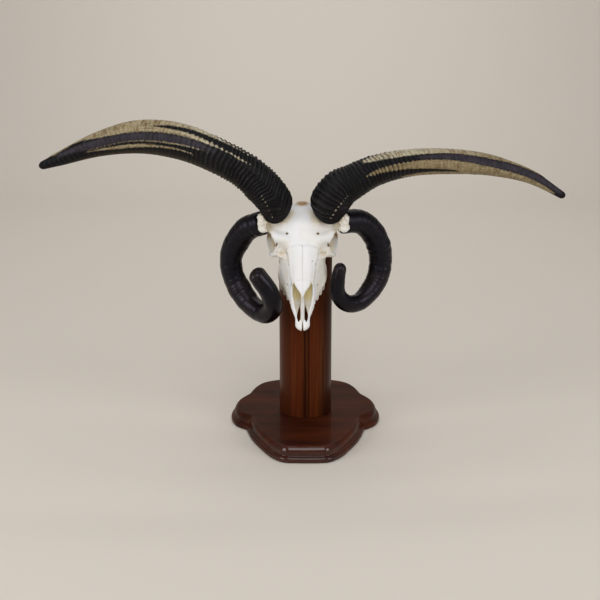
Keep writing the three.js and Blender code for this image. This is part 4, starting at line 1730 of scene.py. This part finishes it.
    def build(self, material: bpy.types.Material) -> None:
        """Makes every bone and dresses it.

        Args:
            material: its finish.
        """
        whole = self.build_field()
        x = whole.axes[0][:, None, None]
        y2 = whole.axes[1][:, None]
        z2 = whole.axes[2][None, :]
        half_seam = self.seam / 2
        cheek_side = self.cheek_distance(y2, z2)[None].astype(np.float32)
        wave = 0.9 * np.sin(0.9 * x) + 0.5 * np.sin(2.1 * x + 1.0)
        cheek = np.maximum(cheek_side, self.cheek_depth - np.abs(x))
        for name, outline in self.bone_regions().items():
            flat = outline_distance(outline, y2, z2)[None].astype(np.float32)
            bent = self.shifted(flat, whole.axes[1], wave) if name in self.wavy else flat
            region = np.maximum(bent + half_seam, -(cheek - half_seam))
            for side in Side if name in self.paired else (None,):
                limited = region if side is None else np.maximum(region, half_seam - side.value * x)
                label = f"{name}_{side.label}" if side is not None else name
                self.add_bone(label, whole.values, limited, whole.axes, material)
        for side in Side:
            region = np.maximum(cheek + half_seam, -side.value * x)
            self.add_bone(f"zygomatic_{side.label}", whole.values, region, whole.axes, material)

    def stains_and_shade(self, points: np.ndarray) -> dict[str, np.ndarray]:
        """Works out where the bone has its tan poll, its brown spots of painted shade about the eyes, waxy
        hollows and creamy edges.

        Args:
            points: the vertices in the skull's frame.

        Returns:
            stain, the tan stain of the poll and the painted shade spots about the eyes, 1 for tan to
            2 for dark brown; inner, the waxy inside of nose and eye sockets; and collar, the creamy
            bone about the horns, on the stumps and on the sides of the jaws.
        """
        x, y, z = points.T
        from_poll = (x / self.poll_reach) ** 2 + ((y - self.poll_place) / self.poll_reach) ** 2
        stain = np.minimum(self.poll_depth * np.exp(-from_poll) * (z > 40.0), self.poll_limit)
        # painted shade: brown spots under the brow, in the slits and along the rim of each eye
        for place, reach, depth in self.shade_spots:
            away = (np.abs(x) - place[0], y - place[1], z - place[2])
            stain = stain + depth * np.exp(-sum((d / r) ** 2 for d, r in zip(away, reach)))
        jaw = self.jaw_cream * rise(np.abs(x), 17.0, 26.0) * rise(y, 40.0, 60.0) * fall(y, 112.0, 125.0)
        nose = fall(np.abs(x), 14.0, 15.5) * rise(y, 48.0, 58.0)
        nose = nose * fall(y, 100.0, 104.0) * fall(z - 0.52 * y, 8.0, 13.0)
        inner = nose * rise(z, 4.0, 6.5)
        for side in Side:
            middle, facing = self.orbit_axes(side.value)
            away = points - middle
            depth = away @ facing
            reach = np.linalg.norm(away - depth[:, None] * facing, axis=1)
            cup = fall(depth, -6.0, 1.0) * fall(reach, 19.0, 22.0)
            inner = np.maximum(inner, self.socket_wax * cup * (depth > -24.0))
        collar = np.full(len(points), FAR)
        for horn in self.horns:
            if isinstance(horn, UpperHorn):
                collar = np.minimum(collar, horn.distance(x, y, z, 60.0))
        collar = fall(collar, *self.collar_reach)
        stump = self.stump_cream * rise(np.abs(x), 44.0, 54.0) * rise(z, 56.0, 62.0)
        return {
            "stain": np.clip(stain, 0.0, 2.0),
            "inner": np.clip(inner, 0.0, 1.0),
            "collar": np.clip(np.maximum(np.maximum(collar, stump), jaw), 0.0, 1.0),
        }

    def shifted(self, flat: np.ndarray, line: np.ndarray, wave: np.ndarray) -> np.ndarray:
        """Makes a bone's seam wander along the head as it crosses it.

        Args:
            flat: distances from the bone's outline in side view.
            line: the grid's places along the head.
            wave: how far the seam moves at each place across the head.

        Returns:
            Distances that change across the head.
        """
        cell = line[1] - line[0]
        out = np.empty((wave.shape[0], *flat.shape[1:]), dtype=np.float32)
        for i, offset in enumerate(wave[:, 0, 0] / cell):
            whole_cells = int(math.floor(offset))
            share = offset - whole_cells
            near = np.roll(flat[0], whole_cells, axis=0)
            far = np.roll(flat[0], whole_cells + 1, axis=0)
            out[i] = near * (1 - share) + far * share
        return out

    def add_bone(self, label: str, whole: np.ndarray, region: np.ndarray, axes: Sequence[np.ndarray],
                 material: bpy.types.Material) -> None:
        """Makes one bone from its distances.

        Args:
            label: the bone's name without its prefix.
            whole: distances from the whole skull's surface.
            region: distances from the seams around the bone.
            axes: the grid's three lists of places.
            material: its finish.
        """
        values = np.maximum(whole, region)
        filled = np.argwhere(values < 0)
        low = np.maximum(filled.min(axis=0) - 2, 0)
        high = np.minimum(filled.max(axis=0) + 3, values.shape)
        cuts = tuple(slice(a, b) for a, b in zip(low, high))
        block = values[cuts].copy()
        for axis in range(3):
            for end in (0, -1):
                face = [slice(None)] * 3
                face[axis] = end
                block[tuple(face)] = np.maximum(block[tuple(face)], 0.01)
        near_axes = [axis[cut] for axis, cut in zip(axes, cuts)]
        points, faces = skin_of(block, near_axes)
        points, faces = largest_part(points, faces)
        points = sharpened(points, whole[cuts], region[cuts], near_axes)
        stains_and_shade = self.stains_and_shade(points)
        make_piece(label, world_frame(points), faces, f"skull_{label}", material, stains_and_shade)


def sampled(values: np.ndarray, axes: Sequence[np.ndarray],
            points: np.ndarray) -> tuple[np.ndarray, np.ndarray]:
    """Reads a block of distances between its grid points.

    Args:
        values: distances on the grid.
        axes: the grid's three lists of places.
        points: where they are wanted.

    Returns:
        The distance and its slope at each place.
    """
    cell = float(axes[0][1] - axes[0][0])
    place = (points - np.array([axis[0] for axis in axes])) / cell
    corner = np.clip(np.floor(place).astype(int), 0, np.array(values.shape) - 2)
    t = np.clip(place - corner, 0.0, 1.0)
    value = np.zeros(len(points))
    slope = np.zeros((len(points), 3))
    for i in (0, 1):
        for j in (0, 1):
            for k in (0, 1):
                here = values[corner[:, 0] + i, corner[:, 1] + j, corner[:, 2] + k]
                share = [t[:, axis] if bit else 1.0 - t[:, axis] for axis, bit in enumerate((i, j, k))]
                sign = [1.0 if bit else -1.0 for bit in (i, j, k)]
                value += here * share[0] * share[1] * share[2]
                slope[:, 0] += here * sign[0] * share[1] * share[2]
                slope[:, 1] += here * sign[1] * share[0] * share[2]
                slope[:, 2] += here * sign[2] * share[0] * share[1]
    return value, slope / cell


def sharpened(points: np.ndarray, whole: np.ndarray, region: np.ndarray,
              axes: Sequence[np.ndarray]) -> np.ndarray:
    """Moves the vertices along a seam's edge out to where the surface and the seam meet.

    Args:
        points: the vertices of one bone.
        whole: distances from the whole skull's surface.
        region: distances from the seams around the bone.
        axes: the grid's three lists of places.

    Returns:
        The moved vertices.
    """
    cell = float(axes[0][1] - axes[0][0])
    moved = points.astype(float).copy()
    for _ in range(3):
        f, f_slope = sampled(whole, axes, moved)
        g, g_slope = sampled(region, axes, moved)
        edge = (np.abs(f) < cell) & (np.abs(g) < cell)
        ff = (f_slope**2).sum(1)
        gg = (g_slope**2).sum(1)
        fg = (f_slope * g_slope).sum(1)
        det = ff * gg - fg * fg
        edge &= det > 0.15 * ff * gg
        safe = np.where(edge, det, 1.0)
        step = ((gg * f - fg * g) / safe)[:, None] * f_slope + ((ff * g - fg * f) / safe)[:, None] * g_slope
        size = np.linalg.norm(step, axis=1)
        step *= np.minimum(1.0, cell / np.maximum(size, 1e-9))[:, None]
        moved = np.where(edge[:, None], moved - step, moved)
    far = np.linalg.norm(moved - points, axis=1) > 1.6 * cell
    moved[far] = points[far]
    return moved


def largest_part(points: np.ndarray, faces: np.ndarray) -> tuple[np.ndarray, np.ndarray]:
    """Keeps the largest joined part of a mesh.

    Args:
        points: its vertices.
        faces: its four-cornered faces.

    Returns:
        The vertices and faces that are left.
    """
    label = np.arange(len(points))
    pairs = np.vstack([faces[:, [0, 1]], faces[:, [1, 2]], faces[:, [2, 3]]])
    while True:
        low = np.minimum(label[pairs[:, 0]], label[pairs[:, 1]])
        before = label.copy()
        np.minimum.at(label, pairs[:, 0], low)
        np.minimum.at(label, pairs[:, 1], low)
        label = label[label]
        if np.array_equal(before, label):
            break
    names, counts = np.unique(label, return_counts=True)
    keep = label == names[counts.argmax()]
    number = np.cumsum(keep) - 1
    kept = faces[keep[faces[:, 0]]]
    return points[keep], number[kept]


# ---------------------------------------------------------------- studio


@dataclass
class Studio:
    """A plain pale floor that curves up behind, soft lights and the camera."""

    half_width: float = 9.0
    back: float = 4.2
    curve_radius: float = 1.6
    curve_steps: int = 24
    wall_height: float = 6.0
    front: float = -6.0
    skull_place: tuple[float, float, float] = (0.0, -0.03, 0.3)
    wall_place: tuple[float, float, float] = (0.0, 4.2, 1.2)
    sky: str = "#f3f1ef"
    sky_strength: float = 0.25
    camera_place: tuple[float, float, float] = (-0.0094, -1.6331, 0.6309)
    camera_tilt: float = 76.0
    lens: float = 60.0
    film_width: float = 36.0

    def floor(self) -> bpy.types.Object:
        """Makes the sweep of paper under and behind the part.

        Returns:
            The floor.
        """
        start = self.back - self.curve_radius
        profile = [(self.front, 0.0), (start, 0.0)]
        for angle in np.linspace(0.0, math.pi / 2, self.curve_steps + 1)[1:].tolist():
            height = self.curve_radius * (1 - math.cos(angle))
            profile.append((start + self.curve_radius * math.sin(angle), height))
        profile.append((self.back, self.wall_height))
        points = [(x, y, z) for y, z in profile for x in (-self.half_width, self.half_width)]
        faces = [[2 * i, 2 * i + 1, 2 * i + 3, 2 * i + 2] for i in range(len(profile) - 1)]
        mesh = bpy.data.meshes.new("floor")
        mesh.from_pydata(points, [], faces)
        mesh.polygons.foreach_set("use_smooth", [True] * len(mesh.polygons))
        floor = bpy.data.objects.new("floor", mesh)
        bpy.context.scene.collection.objects.link(floor)
        dress(floor, PaperFinish("floor_paper").build())
        return floor

    def light(self, name: str, place: Sequence[float], size: float, power: float,
              aim_at: Sequence[float]) -> None:
        """Adds one square soft white light.

        Args:
            name: its name.
            place: where it is.
            size: length of its side in metres.
            power: its power in watts.
            aim_at: the place that it points at.
        """
        lamp = bpy.data.lights.new(name, "AREA")
        lamp.size = size
        lamp.energy = power
        holder = bpy.data.objects.new(name, lamp)
        holder.location = place
        aim = np.array(aim_at) - np.array(place)
        flat = math.hypot(aim[0], aim[1])
        holder.rotation_euler = (math.atan2(flat, -aim[2]), 0.0, math.atan2(aim[1], aim[0]) - math.pi / 2)
        bpy.context.scene.collection.objects.link(holder)

    def build(self) -> None:
        """Sets up the floor, the lights, the surroundings and the camera."""
        self.floor()
        self.light("key", (0.2, -2.3, 2.2), 1.7, 30.0, self.skull_place)
        self.light("left", (-2.1, -1.4, 1.0), 1.4, 24.0, self.skull_place)
        self.light("right", (2.1, -1.4, 1.0), 1.2, 16.0, self.skull_place)
        self.light("top", (0.0, 0.1, 2.5), 1.0, 8.0, self.skull_place)
        self.light("backdrop", (0.0, 1.9, 3.4), 2.0, 50.0, self.wall_place)
        scene = bpy.context.scene
        world = bpy.data.worlds.new("surroundings")
        world.use_nodes = True
        background = world.node_tree.nodes["Background"]
        background.inputs["Color"].default_value = linear(self.sky)
        background.inputs["Strength"].default_value = self.sky_strength
        scene.world = world
        scene.view_settings.view_transform = "Standard"
        camera = bpy.data.cameras.new("camera")
        camera.lens = self.lens
        camera.sensor_width = self.film_width
        holder = bpy.data.objects.new("camera", camera)
        holder.location = self.camera_place
        holder.rotation_euler = (math.radians(self.camera_tilt), 0.0, 0.0)
        scene.collection.objects.link(holder)
        scene.camera = holder


# ---------------------------------------------------------------- the whole part


def upper_horns(quick: bool) -> list[Horn]:
    """Works out the two long upper horns.

    Args:
        quick: whether they are made coarser.

    Returns:
        The left and the right horn.
    """
    left = UpperHorn(
        "horn_upper_left",
        [[-48, -75, 387], [-50.5, -90, 405], [-65.5, -96, 426], [-88.5, -95, 447.5], [-133, -86, 472],
         [-195, -72, 494], [-259, -60, 500], [-323, -54, 488.5], [-386, -56, 466], [-419, -60, 454]],
        [47, 58, 61, 58.5, 57, 57, 52, 38, 21.5, 11],
        [54, 54, 48, 43, 40, 38, 34, 27, 18, 10],
        top_sign=-1,
        quick=quick,
        front_taper=0.2,
        streaks=[
            Streak([[86, 12, 16], [100, 10, 18], [118, 8, 18], [140, 4, 19], [162, -8, 21], [185, -30, 22],
                    [220, -42, 30], [250, -48, 42], [300, -48, 42],
                    [345, -40, 34], [372, -32, 14], [404, -24, 30], [414, -14, 14]], keel=1.0),
            Streak([[10, 96, 100.6], [26, 98, 102.6], [34, 94, 98.6], [48, 89, 93.6]], tones=[[0, 0.1]]),
            Streak([[84, 41, 45], [100, 42, 53], [125, 42, 50], [150, 39, 54], [180, 38, 56], [215, 41, 58],
                    [250, 38, 62], [300, 34, 61], [330, 32, 52], [352, 30, 34]]),
            Streak([[150, 72, 76], [165, 77, 82], [200, 83, 89], [235, 88, 93], [290, 91, 94],
                    [350, 94, 96]], keel=0.4),
            Streak([[172, 99, 103], [200, 99, 105], [225, 101, 109], [260, 101, 116], [300, 103, 120],
                    [330, 101, 113], [356, 99, 102]], keel=0.5),
        ],
        slate=Streak([[140, 60, 68], [170, 56, 78], [200, 59, 84], [250, 64, 90], [300, 62, 93],
                      [350, 54, 92], [400, 30, 60]]),
        lean=[[-180, 0], [10, 0], [60, 11], [110, 9], [180, 0]],
        seed=11,
    )
    right = UpperHorn(
        "horn_upper_right",
        [[36, -75, 387], [39, -90, 405], [51.5, -95, 423.5], [74, -91, 436], [108, -78, 450.5],
         [163, -60, 460], [228, -44, 460.5], [294, -32, 453.5], [361, -24, 434], [420, -20, 401]],
        [50, 64, 63, 55, 48, 41, 38, 31.5, 21, 11],
        [56, 56, 54, 52, 52, 52, 48, 38, 22, 10],
        top_sign=1,
        quick=quick,
        front_taper=0.1,
        streaks=[
            Streak([[90, 8, 22], [100, 4, 32], [112, -4, 37], [135, -14, 40], [155, -30, 39], [200, -44, 34],
                    [218, -44, 33], [240, -42, 33], [285, -36, 38], [302, -24, 40], [330, 4, 36],
                    [372, 2, 26], [398, 4, 14]], keel=1.0, tones=[[150, 0.15], [260, 0.7], [330, 0.9]]),
            Streak([[14, 89, 94.4], [28, 96, 101.4], [42, 100, 105.4], [54, 96, 101.4]], tones=[[0, 0.0]]),
            Streak([[84, 70, 75], [96, 65, 82], [112, 63, 86], [130, 62, 90], [165, 61, 96], [210, 62, 106],
                    [240, 66, 114], [262, 72, 142], [280, 80, 158], [320, 88, 164], [365, 94, 164],
                    [405, 100, 160], [424, 110, 140]], keel=0.8, tones=[[90, 0.9], [150, 1.05], [400, 0.8]]),
            Streak([[146, 124, 136], [176, 121, 148], [200, 120, 158], [240, 124, 166], [285, 136, 172]],
                   keel=0.4, tones=[[0, 1.1]]),
        ],
        slate=Streak([[178, 46, 52], [215, 36, 60], [250, 35, 68], [300, 44, 84], [350, 36, 90],
                      [432, 10, 96]]),
        lean=[[-180, 0], [100, 0], [160, -18], [180, 0]],
        seed=23,
    )
    return [left, right]


def lateral_horns(quick: bool) -> list[Horn]:
    """Works out the two curled lateral horns.

    Args:
        quick: whether they are made coarser.

    Returns:
        The left and the right horn.
    """
    left = LateralHorn(
        "horn_lateral_left",
        [[-69, -71, 367], [-93.5, -55, 355], [-109.5, -42, 333.5], [-121.5, -32, 306], [-120, -30, 277],
         [-107, -36, 249.5], [-87.5, -50, 226.5], [-66, -70, 219.5], [-53, -91, 237], [-58, -104, 262],
         [-70.5, -110, 283], [-82, -113, 300]],
        [38, 41, 42, 37, 36, 38.5, 34.5, 33, 31.5, 30.5, 31, 29.5],
        [38, 38, 37, 36, 36, 36, 36, 35, 33, 30, 27, 21],
        top_sign=-1,
        quick=quick,
        seed=31,
    )
    right = LateralHorn(
        "horn_lateral_right",
        [[58, -70, 369], [86, -54, 366], [106, -41, 348.5], [119, -32, 322], [122.5, -28, 295],
         [117.5, -32, 269], [103, -42, 247], [85, -57, 234], [65, -73, 237], [51.5, -83, 254],
         [50.5, -87, 277], [56, -88, 306]],
        [38, 41, 42, 41, 38, 37, 34, 27, 24, 22, 22.5, 19],
        [38, 38, 38, 38, 36, 35, 32, 30, 28, 26, 23, 18],
        top_sign=1,
        quick=quick,
        seed=47,
    )
    return [left, right]


def main() -> None:
    """Builds the part from the pedestal up, then the studio around it."""
    logging.basicConfig(level=logging.INFO, format="%(message)s")
    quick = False
    PedestalBase().build(LacquerFinish("base_lacquer").build())
    PedestalColumn().build(LaminateFinish("column_boards").build())
    streaked = StreakedHornFinish("streaked_horn").build()
    black = BlackHornFinish("black_horn").build()
    uppers = upper_horns(quick)
    laterals = lateral_horns(quick)
    for horn in uppers:
        horn.build(Slot.UPPER_HORN, streaked)
    for horn in laterals:
        horn.build(Slot.LATERAL_HORN, black)
    cell = QUICK_CELL if quick else FULL_CELL
    Skull([*uppers, *laterals], cell).build(BoneFinish("bleached_bone").build())
    Studio().build()


if __name__ == "__main__":
    main()
